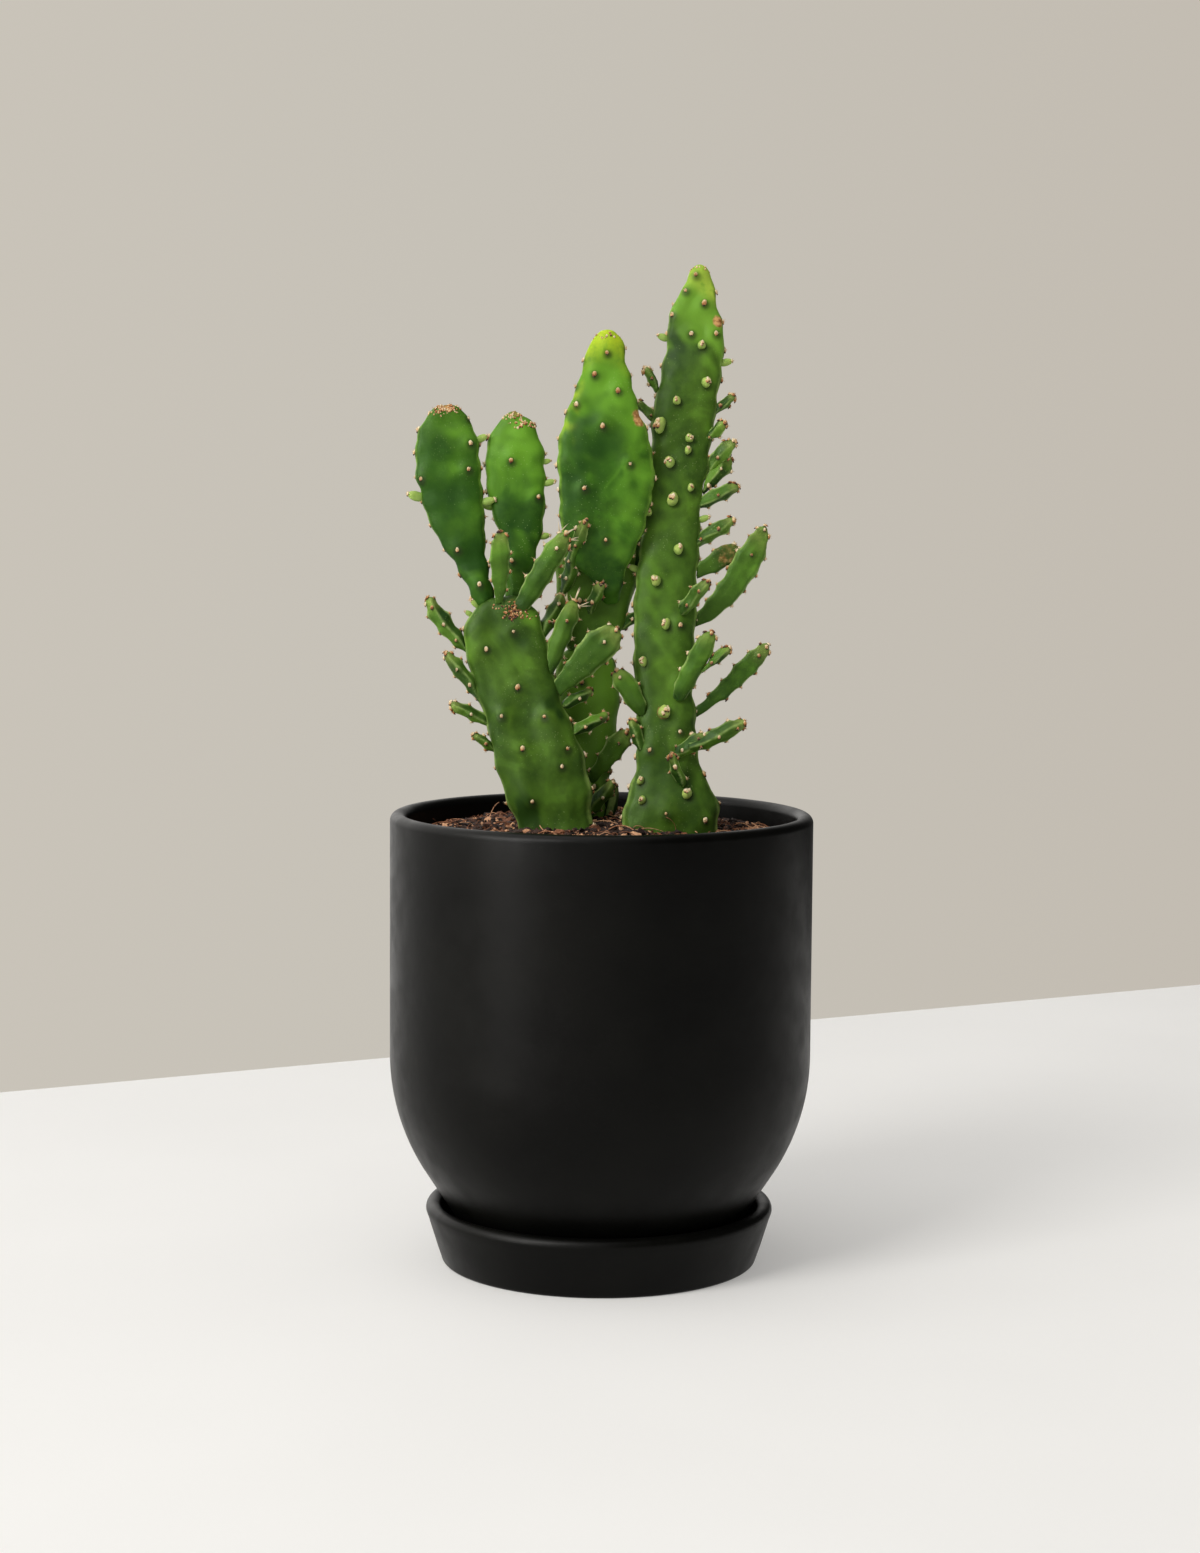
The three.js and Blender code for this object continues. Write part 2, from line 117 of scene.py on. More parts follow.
class Graph:
    """A material's nodes, with short calls for the patterns that the finishes share."""

    def __init__(self, name: str) -> None:
        """Starts a material with one Principled shader.

        Args:
            name: The material's name.
        """
        self.material = bpy.data.materials.new(name)
        self.material.use_nodes = True
        tree = self.material.node_tree
        tree.nodes.clear()
        self.nodes, self.links = tree.nodes, tree.links
        self.shader = self.nodes.new("ShaderNodeBsdfPrincipled")
        output = self.nodes.new("ShaderNodeOutputMaterial")
        self.links.new(self.shader.outputs["BSDF"], output.inputs["Surface"])
        self.place = self.nodes.new("ShaderNodeTexCoord").outputs["Object"]

    def put(self, socket: Socket, value: object) -> None:
        """Links or sets an input.

        Args:
            socket: The input.
            value: Another node's output, or a plain value.
        """
        if isinstance(value, Socket):
            self.links.new(value, socket)
        else:
            socket.default_value = value

    def set(self, **inputs: object) -> None:
        """Puts values on the shader's sockets, named with underscores for spaces.

        Args:
            **inputs: A value or an output for each socket.
        """
        for name, value in inputs.items():
            self.put(self.shader.inputs[name.replace("_", " ")], value)

    def noise(self, scale: float, detail: float = 3, roughness: float = 0.5, twist: float = 0) -> Socket:
        """Cloudy noise.

        Args:
            scale: Features per metre.
            detail: Octaves.
            roughness: How strong the finer octaves are.
            twist: Distortion.

        Returns:
            A value around 0.5.
        """
        node = self.nodes.new("ShaderNodeTexNoise")
        self.put(node.inputs["Vector"], self.place)
        values = {"Scale": scale, "Detail": detail, "Roughness": roughness, "Distortion": twist}
        for name, value in values.items():
            node.inputs[name].default_value = value
        return node.outputs["Fac"]

    def cells(self, scale: float) -> Socket:
        """Distance to the nearest of many scattered points.

        Args:
            scale: Points per metre.

        Returns:
            The distance, 0 at a point.
        """
        node = self.nodes.new("ShaderNodeTexVoronoi")
        self.put(node.inputs["Vector"], self.place)
        node.inputs["Scale"].default_value = scale
        return node.outputs["Distance"]

    def mark(self, name: str) -> Socket:
        """A float that the mesh carries at each vertex."""
        node = self.nodes.new("ShaderNodeAttribute")
        node.attribute_name = name
        return node.outputs["Fac"]

    def fit(self, value: object, low: float, high: float, to: float = 1.0) -> Socket:
        """Stretches a range onto 0 to `to`, and clamps it.

        Args:
            value: The input.
            low: What becomes 0.
            high: What becomes `to`.
            to: The top of the result.

        Returns:
            The stretched value.
        """
        node = self.nodes.new("ShaderNodeMapRange")
        node.interpolation_type = "SMOOTHSTEP"
        self.put(node.inputs["Value"], value)
        node.inputs["From Min"].default_value = low
        node.inputs["From Max"].default_value = high
        node.inputs["To Max"].default_value = to
        return node.outputs["Result"]

    def _maths(self, operation: str, first: object, second: object) -> Socket:
        """One arithmetic node on two values or outputs."""
        node = self.nodes.new("ShaderNodeMath")
        node.operation = operation
        self.put(node.inputs[0], first)
        self.put(node.inputs[1], second)
        return node.outputs[0]

    def plus(self, first: object, second: object) -> Socket:
        """Adds two values or outputs."""
        return self._maths("ADD", first, second)

    def times(self, first: object, second: object) -> Socket:
        """Multiplies two values or outputs."""
        return self._maths("MULTIPLY", first, second)

    def mix(self, share: object, first: object, second: object) -> Socket:
        """Blends two colours.

        Args:
            share: How much of the second.
            first: A colour or an output.
            second: A colour or an output.

        Returns:
            The blended colour.
        """
        node = self.nodes.new("ShaderNodeMix")
        node.data_type = "RGBA"
        self.put(node.inputs[0], share)
        self.put(node.inputs[6], first)
        self.put(node.inputs[7], second)
        return node.outputs[2]

    def ramp(self, value: object, stops: Sequence[tuple[float, Colour]]) -> Socket:
        """Turns a value into a colour.

        Args:
            value: The input, 0 to 1.
            stops: Places and colours, in order.

        Returns:
            The colour.
        """
        node = self.nodes.new("ShaderNodeValToRGB")
        self.put(node.inputs["Fac"], value)
        elements = node.color_ramp.elements
        while len(elements) < len(stops):
            elements.new(0.5)
        for element, (place, colour) in zip(elements, stops):
            element.position = place
            element.color = colour
        return node.outputs["Color"]

    def bump(self, height: object, strength: float, depth: float) -> None:
        """Raises fine relief over what relief the shader has already.

        Args:
            height: The relief's pattern.
            strength: How much of it shows, 0 to 1.
            depth: Its depth in metres.
        """
        node = self.nodes.new("ShaderNodeBump")
        node.inputs["Strength"].default_value = strength
        node.inputs["Distance"].default_value = depth
        self.put(node.inputs["Height"], height)
        normal = self.shader.inputs["Normal"]
        if normal.links:
            self.put(node.inputs["Normal"], normal.links[0].from_socket)
        self.links.new(node.outputs["Normal"], normal)


@dataclass(frozen=True)
class Ceramic:
    """Unglazed black stoneware with a faint eggshell sheen."""

    name: str
    body: Colour = tone(6, 6, 5)
    dusty: Colour = tone(10, 10, 8)
    roughness: float = 0.37

    def material(self) -> Material:
        """Builds the material."""
        graph = Graph(self.name)
        clouds = graph.fit(graph.noise(38, 4), 0.35, 0.7)
        grain = graph.noise(2600, 3, 0.6)
        colour = graph.mix(clouds, self.body, self.dusty)
        speck = graph.fit(graph.cells(900), 0.16, 0.08, 0.35)
        colour = graph.mix(speck, colour, tone(26, 25, 23))
        rough = graph.plus(graph.fit(graph.noise(120, 4), 0.3, 0.7, 0.1), self.roughness - 0.05)
        graph.set(Base_Color=colour, Roughness=rough, Specular_IOR_Level=0.09)
        graph.bump(grain, 0.22, 0.00012)
        graph.bump(graph.noise(240, 3), 0.1, 0.0004)
        return graph.material


@dataclass(frozen=True)
class Skin:
    """Waxy green cactus skin: mottled, paler at margins, corky where it is old, with painted shade and
    painted shadows laid into its colour by the mesh's marks.
    """

    name: str
    shaded: Colour
    deep: Colour
    body: Colour
    fresh: Colour
    margin: Colour
    tip: Colour
    speck: Colour = tone(168, 190, 120)
    # Dark green of the painted shadows below areoles and buds, also used where a shoot is dry.
    painted_shadow_and_dry: Colour = tone(30, 42, 14)
    rust: tuple[Colour, Colour] = (tone(132, 84, 42), tone(206, 160, 104))
    margin_share: float = 0.8
    mottle: float = 0.7
    roughness: float = 0.44

    def material(self) -> Material:
        """Builds the material."""
        graph = Graph(self.name)
        broad = graph.fit(graph.noise(62, 3, 0.55, 0.8), 0.36, 0.76)
        fine = graph.fit(graph.noise(330, 4, 0.6), 0.3, 0.75)
        stops = [
            (0.0, blend(self.deep, self.shaded, self.mottle)),
            (0.3, self.deep),
            (0.62, self.body),
            (1.0, blend(self.body, self.fresh, self.mottle)),
        ]
        colour = graph.mix(graph.times(fine, 0.2), graph.ramp(broad, stops), self.fresh)
        colour = graph.mix(graph.mark("fresh"), colour, self.fresh)
        # Darker tone and painted shade, read from the mesh, blend towards the shaded green.
        dim = graph.times(graph.mark("dark_tone_and_painted_shade"), graph.fit(broad, -0.8, 0.6))
        colour = graph.mix(dim, colour, self.shaded)
        lighter = graph.times(graph.mark("margin"), self.margin_share)
        colour = graph.mix(graph.times(lighter, graph.fit(fine, -0.6, 1)), colour, self.margin)
        patchy = graph.times(graph.mark("tip"), graph.fit(graph.noise(420, 3, 0.6), 0.1, 0.6))
        colour = graph.mix(patchy, colour, self.tip)
        speck = graph.fit(graph.cells(1150), 0.2, 0.1, 0.4)
        speck = graph.times(speck, graph.fit(graph.noise(95, 2), 0.45, 0.7))
        colour = graph.mix(speck, colour, self.speck)
        # Painted shadow below the areoles and buds, and the darker skin of dry shoots.
        dark = graph.fit(graph.mark("painted_shadow_and_dry"), 0.12, 0.85, 0.72)
        colour = graph.mix(dark, colour, self.painted_shadow_and_dry)
        rust = graph.mix(graph.fit(graph.noise(900, 3), 0.3, 0.7), *self.rust)
        flaky = graph.times(graph.noise(420, 4, 0.7), 0.5)
        cork = graph.fit(graph.plus(graph.mark("cork"), flaky), 0.62, 0.86)
        colour = graph.mix(cork, colour, rust)
        rough = graph.plus(graph.fit(graph.noise(210, 3), 0.3, 0.7, 0.14), self.roughness)
        graph.set(Base_Color=colour, Roughness=graph.plus(rough, graph.times(cork, 0.3)))
        graph.set(Specular_IOR_Level=0.13, Subsurface_Weight=0.1)
        graph.set(Subsurface_Radius=(0.5, 1.0, 0.2), Subsurface_Scale=1.2 * MM)
        graph.bump(graph.noise(700, 4, 0.6), 0.22, 0.00022)
        graph.bump(graph.cells(1500), 0.16, 0.00012)
        return graph.material


@dataclass(frozen=True)
class Wool:
    """The felt and bristles of an areole, from cream to rust by the mesh's shade, which also holds the
    painted light and shade on each cushion.
    """

    name: str = "areole_wool"

    def material(self) -> Material:
        """Builds the material."""
        graph = Graph(self.name)
        shade = graph.plus(graph.mark("shade"), graph.fit(graph.noise(1500, 2), 0.2, 0.8, 0.22))
        stops = [
            (0.0, tone(238, 226, 196)),
            (0.42, tone(214, 184, 138)),
            (0.66, tone(178, 118, 68)),
            (0.86, tone(112, 64, 32)),
            (1.0, tone(44, 28, 16)),
        ]
        graph.set(Base_Color=graph.ramp(shade, stops), Roughness=0.85)
        graph.bump(graph.noise(5200, 2), 0.5, 0.0001)
        return graph.material


@dataclass(frozen=True)
class PottingMix:
    """Peat, coir and bark, coloured piece by piece by the mesh's own shade."""

    name: str
    damp: float = 0.0

    def material(self) -> Material:
        """Builds the material."""
        graph = Graph(self.name)
        shade = graph.plus(graph.mark("shade"), graph.fit(graph.noise(1300, 4, 0.7), 0.25, 0.75, 0.25))
        stops = [
            (0.0, tone(16, 11, 9)),
            (0.4, tone(44, 27, 19)),
            (0.68, tone(88, 53, 35)),
            (0.88, tone(146, 94, 64)),
            (1.0, tone(212, 162, 124)),
        ]
        graph.set(Base_Color=graph.ramp(shade, stops), Roughness=0.86 - self.damp, Specular_IOR_Level=0.35)
        graph.bump(graph.noise(2600, 4, 0.7), 0.6, 0.0003)
        return graph.material


# ---- Meshes --------------------------------------------------------------------------------------


class Surface:
    """A mesh that grows from points and faces, with a shade at each vertex."""

    def __init__(self) -> None:
        """Starts empty."""
        self.points: list[np.ndarray] = []
        self.faces: list[tuple[int, ...]] = []
        self.shades: list[np.ndarray] = []
        self.count = 0

    def add(self, points: np.ndarray, faces: Sequence[Sequence[int]], shade: float | np.ndarray) -> None:
        """Adds one closed body.

        Args:
            points: Its vertices.
            faces: Its faces, counted from its own first vertex.
            shade: Its shade, one for all or one for each vertex.
        """
        self.faces.extend(tuple(self.count + i for i in face) for face in faces)
        self.points.append(points)
        self.shades.append(np.broadcast_to(np.asarray(shade, float), (len(points),)))
        self.count += len(points)

    def piece(self, name: str, smooth: bool = True) -> Piece:
        """Makes the object.

        Args:
            name: Its name.
            smooth: Whether its faces shade smoothly.

        Returns:
            The linked object.
        """
        mesh = bpy.data.meshes.new(name)
        mesh.from_pydata(np.concatenate(self.points).tolist(), [], self.faces)
        store(mesh, "shade", np.concatenate(self.shades))
        if smooth:
            mesh.shade_smooth()
        else:
            mesh.shade_flat()
        mesh.update()
        return linked(name, mesh)


def linked(name: str, data: bpy.types.ID) -> Piece:
    """Makes an object from its data and puts it in the scene."""
    item = bpy.data.objects.new(name, data)
    bpy.context.scene.collection.objects.link(item)
    return item


def coordinates(mesh: bpy.types.Mesh) -> np.ndarray:
    """The mesh's vertices, one row each."""
    points = np.empty(len(mesh.vertices) * 3)
    mesh.vertices.foreach_get("co", points)
    return points.reshape(-1, 3)


def store(mesh: bpy.types.Mesh, name: str, values: np.ndarray) -> None:
    """Stores a float at each vertex for a shader."""
    mesh.attributes.new(name, "FLOAT", "POINT").data.foreach_set("value", values.astype(np.float32))


def hoop(first: int, sides: int) -> list[tuple[int, ...]]:
    """Faces between a ring of vertices that starts at `first` and the ring after it."""
    pairs = [(first + k, first + (k + 1) % sides) for k in range(sides)]
    return [(left, right, right + sides, left + sides) for left, right in pairs]


def capped(rings: int, sides: int) -> list[tuple[int, ...]]:
    """Faces of a closed body: a bottom vertex, rings of vertices upwards, and a top vertex.

    Args:
        rings: How many rings.
        sides: Vertices in each.

    Returns:
        The faces.
    """
    faces = [(0, 1 + (k + 1) % sides, 1 + k) for k in range(sides)]
    for ring in range(rings - 1):
        faces += hoop(1 + ring * sides, sides)
    last = 1 + (rings - 1) * sides
    return faces + [(last + k, last + (k + 1) % sides, last + sides) for k in range(sides)]


def finished(piece: Piece, material: Material, slot: Slot, *nodes: str) -> None:
    """Dresses a piece, lets it ride on the object's body and hides the CAD nodes that it stands for.

    Args:
        piece: The piece.
        material: Its only material.
        slot: The record's slot for it; not used.
        *nodes: The CAD nodes it replaces.
    """
    piece.data.materials.clear()
    piece.data.materials.append(material)
    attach(piece, BODY)
    if nodes:
        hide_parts(*nodes)
    LOG.info("%s: %d faces", piece.name, len(piece.data.polygons))


def turned(name: str, profile: np.ndarray, steps: int) -> Piece:
    """Turns a profile about the Z axis.

    Args:
        name: The piece's name.
        profile: Rows of radius and height. It closes on itself, or starts and ends on the axis.
        steps: Faces round the axis.

    Returns:
        The turned piece.
    """
    mesh = bmesh.new()
    angles = np.linspace(0, 2 * math.pi, steps, endpoint=False)
    rings = []
    for radius, height in profile:
        if radius < 1e-7:
            rings.append([mesh.verts.new((0, 0, height))])
        else:
            ring = [(radius * math.cos(a), radius * math.sin(a), height) for a in angles]
            rings.append([mesh.verts.new(place) for place in ring])
    on_axis = len(rings[0]) == 1
    pairs = list(zip(rings, rings[1:])) if on_axis else list(zip(rings, rings[1:] + rings[:1]))
    for low, high in pairs:
        for k in range(steps):
            foot = [low[k % len(low)], low[(k + 1) % len(low)]]
            head = [high[(k + 1) % len(high)], high[k % len(high)]]
            mesh.faces.new(dict.fromkeys(foot + head))
    bmesh.ops.recalc_face_normals(mesh, faces=mesh.faces)
    data = bpy.data.meshes.new(name)
    mesh.to_mesh(data)
    mesh.free()
    data.shade_smooth()
    return linked(name, data)


def arc(centre: tuple[float, float], radius: float, start: float, end: float, steps: int) -> np.ndarray:
    """Points of an arc in the half plane of radius and height.

    Args:
        centre: The arc's centre.
        radius: Its radius.
        start: First angle in degrees from the outward direction.
        end: Last angle.
        steps: Stretches between its points.

    Returns:
        Rows of radius and height.
    """
    angles = np.radians(np.linspace(start, end, steps + 1))
    return np.column_stack([centre[0] + radius * np.cos(angles), centre[1] + radius * np.sin(angles)])


def ripples(points: np.ndarray, length: float, seed: int, waves: int = 22) -> np.ndarray:
    """A smooth random field, the sum of many waves that run every way.

    Args:
        points: Where to read it.
        length: The waves' usual length.
        seed: Which field.
        waves: How many waves.

    Returns:
        A value near -1 to 1 at each point.
    """
    rng = np.random.default_rng(seed)
    ways = rng.normal(size=(waves, 3))
    ways /= np.linalg.norm(ways, axis=1, keepdims=True)
    ways *= 2 * math.pi / (length * rng.uniform(0.7, 1.6, size=(waves, 1)))
    phases = rng.uniform(0, 2 * math.pi, waves)
    return np.sin(points @ ways.T + phases).sum(axis=1) / math.sqrt(waves)


def smoothstep(values: np.ndarray, low: float, high: float) -> np.ndarray:
    """Eases values from 0 at `low` to 1 at `high`."""
    share = np.clip((values - low) / (high - low), 0, 1)
    return share * share * (3 - 2 * share)


class Flesh:
    """A living segment: its CAD node as an even, rounded mesh that can be raised and marked."""

    def __init__(self, node: str, voxel: float, rounding: float) -> None:
        """Copies and rounds the node.

        Args:
            node: The CAD node.
            voxel: The even mesh's spacing.
            rounding: How far the rounding reaches.
        """
        self.node = node
        self.voxel = voxel
        self.piece = self._even_copy(node, voxel)
        mesh = self.piece.data
        self.points = coordinates(mesh)
        edges = np.empty(len(mesh.edges) * 2, int)
        mesh.edges.foreach_get("vertices", edges)
        self.edges = edges.reshape(-1, 2)
        self.degree = np.bincount(edges, minlength=len(self.points))[:, None]
        rounds = max(1, round(4 * (rounding / voxel) ** 2))
        eased = self._eased(self.points, rounds)
        self.points = eased + self._eased(self.points - eased, rounds)
        low, high = (np.array(corner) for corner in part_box(node))
        shrunk_low, shrunk_high = self.points.min(axis=0), self.points.max(axis=0)
        self.points = low + (self.points - shrunk_low) * (high - low) / (shrunk_high - shrunk_low)
        self.settle()
        self.low, self.high = self.points.min(axis=0), self.points.max(axis=0)

    @staticmethod
    def _even_copy(node: str, voxel: float) -> Piece:
        """Copies a node's mesh and remeshes it evenly.

        Args:
            node: The CAD node.
            voxel: The spacing.

        Returns:
            The new object.
        """
        welded = bmesh.new()
        welded.from_mesh(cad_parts[node].data)
        bmesh.ops.remove_doubles(welded, verts=welded.verts, dist=2e-6)
        source = bpy.data.meshes.new(node)
        welded.to_mesh(source)
        welded.free()
        piece = linked(f"{node}_flesh", source)
        even = piece.modifiers.new("even", "REMESH")
        even.mode = "VOXEL"
        even.voxel_size = voxel
        shape = piece.evaluated_get(bpy.context.evaluated_depsgraph_get())
        mesh = bpy.data.meshes.new_from_object(shape)
        piece.modifiers.clear()
        piece.data = mesh
        bpy.data.meshes.remove(source)
        mesh.name = piece.name
        mesh.shade_smooth()
        return piece

    def _eased(self, values: np.ndarray, rounds: int) -> np.ndarray:
        """Averages values with their neighbours'.

        Args:
            values: One row for each vertex.
            rounds: How often.

        Returns:
            The averaged values.
        """
        first, second = self.edges.T
        count = len(values)
        values = values.copy()
        for _ in range(rounds):
            near = np.empty_like(values)
            for axis, column in enumerate(values.T):
                near[:, axis] = np.bincount(first, column[second], count)
                near[:, axis] += np.bincount(second, column[first], count)
            values += 0.5 * (near / self.degree - values)
        return values

    def frame_by(self, along: np.ndarray, across: np.ndarray) -> None:
        """Measures how far each vertex lies up the segment and across it.

        Args:
            along: The segment's long direction.
            across: The direction of its width.
        """
        self.along, self.across, self.out = along, across, np.cross(along, across)
        up, wide, deep = self.points @ along, self.points @ across, self.points @ self.out
        self.level = (up - up.min()) / (up.max() - up.min())
        bins = max(6, round((up.max() - up.min()) / (1.2 * MM)))
        slot = np.minimum((self.level * bins).astype(int), bins - 1)
        rows = []
        for k in range(bins):
            here = slot == k
            rows.append([wide[here].min(), wide[here].max(), deep[here].min(), deep[here].max()])
        rows = np.array(rows)
        for _ in range(3):
            rows = (np.vstack([rows[:1], rows[:-1]]) + rows * 2 + np.vstack([rows[1:], rows[-1:]])) / 4
        middles = (np.arange(bins) + 0.5) / bins
        left, right, near, far = (np.interp(self.level, middles, column) for column in rows.T)
        self.half = (right - left) / 2
        self.side = np.clip((wide - (left + right) / 2) / self.half, -1, 1)
        self.depth = deep - (near + far) / 2
        self.slim = smoothstep(self.half / ((far - near) / 2), 1.05, 1.9)

    def flatten(self, share: float) -> None:
        """Flattens the faces and fills out the margins, apart from where the segment is round.

        Args:
            share: How much of the thickness stays in the middle.
        """
        keep = share * np.sqrt(1 + self.side**2 * 0.9)
        change = self.depth * (keep - 1) * self.slim
        self.points = self.points + self.out * change[:, None]
        self.settle()

    def settle(self) -> None:
        """Writes the points to the mesh and reads its normals."""
        mesh = self.piece.data
        mesh.vertices.foreach_set("co", self.points.ravel())
        mesh.update()
        normals = np.empty(len(self.points) * 3)
        mesh.vertex_normals.foreach_get("vector", normals)
        self.normals = normals.reshape(-1, 3)
        self.tree = BVHTree.FromPolygons(
            [Vector(p) for p in self.points], [tuple(f.vertices) for f in mesh.polygons]
        )

    def raise_by(self, heights: np.ndarray) -> None:
        """Moves each vertex out along its normal."""
        self.points = self.points + self.normals * heights[:, None]
        self.settle()

    def mark(self, name: str, values: np.ndarray) -> None:
        """Stores a float at each vertex for the skin's shader."""
        store(self.piece.data, name, values)

    def near(
        self, spots: Sequence[Spot], reach: float, shift: Sequence[float] = (0, 0, 0), lift: float = 0
    ) -> np.ndarray:
        """How close each vertex is to the nearest of some spots.

        Args:
            spots: The spots.
            reach: The distance at which closeness has mostly faded.
            shift: A step to the side of each spot.
            lift: A step along each spot's normal.

        Returns:
            Closeness from 0 to 1 for each vertex.
        """
        closest = np.full(len(self.points), np.inf)
        for place, normal in spots:
            centre = np.array(place + normal * lift + Vector(shift))
            closest = np.minimum(closest, ((self.points - centre) ** 2).sum(axis=1))
        return np.exp(-closest / reach**2)

    def spot(self, height: float, side: float, face: Face) -> Optional[Spot]:
        """A point on the skin at a share of the height and of the half width.

        Args:
            height: 0 at the foot and 1 at the top.
            side: -1 at the left margin and 1 at the right one. Unused on the margins themselves.
            face: The side of the segment that it lies on.

        Returns:
            The point and its normal, or None if there is no skin there.
        """
        level = self.low[2] + height * (self.high[2] - self.low[2])
        band = self.points[np.abs(self.points[:, 2] - level) < 1.2 * self.voxel]
        if not len(band):
            return None
        left, right = band[:, 0].min(), band[:, 0].max()
        way = Vector(face.value)
        if way.x:
            end = band[np.argmin(band[:, 0] * way.x)]
            aim = Vector(end)
        else:
            aim = Vector(((left + right) / 2 + side * (right - left) / 2, band[:, 1].mean(), level))
        place, normal, _, _ = self.tree.ray_cast(aim - way * 30 * MM, way)
        return None if place is None else (place, normal)

    def on_front(self, places: Sequence[tuple[float, float]]) -> list[Spot]:
        """The spots on the front at some shares of the height and of the half width."""
        spots = [self.spot(height, side, Face.FRONT) for height, side in places]
        return [spot for spot in spots if spot]


# ---- Areoles -------------------------------------------------------------------------------------


@dataclass
class Areoles:
    """The woolly spots of one stem, with their bristles, gathered into one piece."""

    name: str
    seed: int
    surface: Surface = field(default_factory=Surface)
    rng: Rng = field(init=False)

    def __post_init__(self) -> None:
        """Seeds the scatter."""
        self.rng = np.random.default_rng(self.seed)

    @staticmethod
    def _turn(normal: Vector) -> np.ndarray:
        """A rotation whose third column points along the normal."""
        return np.array(normal.to_track_quat("Z", "Y").to_matrix())

    def _cushion(self, place: np.ndarray, turn: np.ndarray, radius: float, shade: float) -> None:
        """Adds a felted, irregular little dome.

        Args:
            place: Its middle.
            turn: Its rotation.
            radius: Its radius.
            shade: Its shade.
        """
        rings, sides = ((-0.25, 0.9), (0.12, 1.0), (0.5, 0.72)), 8
        points = [[0, 0, -0.3]]
        for height, width in rings:
            for k in range(sides):
                angle = 2 * math.pi * (k + self.rng.uniform(-0.2, 0.2)) / sides
                wide = width * self.rng.uniform(0.82, 1.15)
                level = height * self.rng.uniform(0.8, 1.2)
                points.append([wide * math.cos(angle), 1.3 * wide * math.sin(angle), level])
        points.append([0, 0, 0.66])
        local = np.array(points) * radius
        # Painted light and shade: each cushion is paler on its upper side and darker on its lower side.
        shades = shade - 0.22 * np.array(points)[:, 1] + self.rng.uniform(-0.12, 0.12, len(points))
        self.surface.add(local @ turn.T + place, capped(len(rings), sides), np.clip(shades, 0, 1))

    def _bristle(self, root: np.ndarray, way: np.ndarray, length: float, thick: float, shade: float) -> None:
        """Adds one tapering, slightly bent bristle.

        Args:
            root: Where it stands.
            way: Its direction.
            length: Its length.
            thick: Its radius at the root.
            shade: Its shade.
        """
        way = way / np.linalg.norm(way)
        across = np.cross(way, (0.31, 0.2, 0.93))
        across /= np.linalg.norm(across)
        up = np.cross(way, across)
        bend = (across * self.rng.uniform(-1, 1) + up * self.rng.uniform(-1, 1)) * 0.08 * MM
        ring = [across * math.cos(a) + up * math.sin(a) for a in (0, 2.094, 4.189)]
        points = [root + r * thick for r in ring]
        points += [root + way * length * 0.5 + bend + r * thick * 0.7 for r in ring]
        points.append(root + way * length)
        faces = [(2, 1, 0)]
        for k in range(3):
            n = (k + 1) % 3
            faces += [(k, n, n + 3, k + 3), (k + 3, n + 3, 6)]
        self.surface.add(np.array(points), faces, shade)

    def tuft(self, spot: Spot, size: float, bristles: int, shade: float, length: float = 0.9 * MM) -> None:
        """Adds a cushion with a spray of bristles.

        Args:
            spot: The place and normal.
            size: The cushion's radius.
            bristles: How many bristles.
            shade: The wool's shade, 0 cream to 1 dark rust.
            length: The bristles' length.
        """
        place, normal = np.array(spot[0]), spot[1]
        lean = Vector((self.rng.uniform(-0.35, 0.35), 0, self.rng.uniform(0, 0.3)))
        turn = self._turn((normal + lean).normalized())
        size *= self.rng.uniform(0.8, 1.2)
        self._cushion(place, turn, size, shade)
        self._cushion(place - turn[:, 1] * size * 0.8, turn, size * 0.6, min(1.0, shade + 0.55))
        spine = length > 2 * MM
        thick, palest, spread = (0.27 * MM, 0.0, 0.05) if spine else (0.08 * MM, 0.1, 0.3)
        for _ in range(bristles):
            tilt, angle = self.rng.uniform(0.1, 0.95), self.rng.uniform(0, 2 * math.pi)
            flat = math.sin(tilt)
            way = turn @ np.array([flat * math.cos(angle), flat * math.sin(angle), math.cos(tilt)])
            shade = palest + self.rng.uniform(0, spread)
            self._bristle(place + way * size * 0.3, way, length * self.rng.uniform(0.6, 1.3), thick, shade)

    def cluster(self, flesh: Flesh, spot: Spot, spread: float, count: int, shade: float) -> None:
        """Adds a crust of dry rust-brown scales, as on the crest of a pad.

        Args:
            flesh: The segment that it lies on.
            spot: The middle of it.
            spread: How far it reaches along the crest.
            count: How many scales.
            shade: Their usual shade.
        """
        for _ in range(count):
            shift = self.rng.normal(size=3) * np.array([spread, spread * 0.5, spread * 0.3])
            place, normal, _, _ = flesh.tree.find_nearest(spot[0] + Vector(shift))
            lean = (normal + Vector(self.rng.normal(size=3)) * 0.3).normalized()
            turn, root = self._turn(lean), np.array(place)
            radius = self.rng.uniform(0.16, 0.46) * MM
            self._cushion(root, turn, radius, shade + self.rng.uniform(-0.25, 0.25))
            if self.rng.uniform() < 0.5:
                way = turn[:, 2] + self.rng.normal(size=3) * 0.5
                length = self.rng.uniform(0.5, 1.1) * MM
                self._bristle(root, way, length, 0.1 * MM, self.rng.uniform(0.25, 0.6))

    def finish(self, material: Material) -> None:
        """Makes and dresses the piece."""
        finished(self.surface.piece(self.name), material, Slot.WOOL)


# ---- Segments ------------------------------------------------------------------------------------


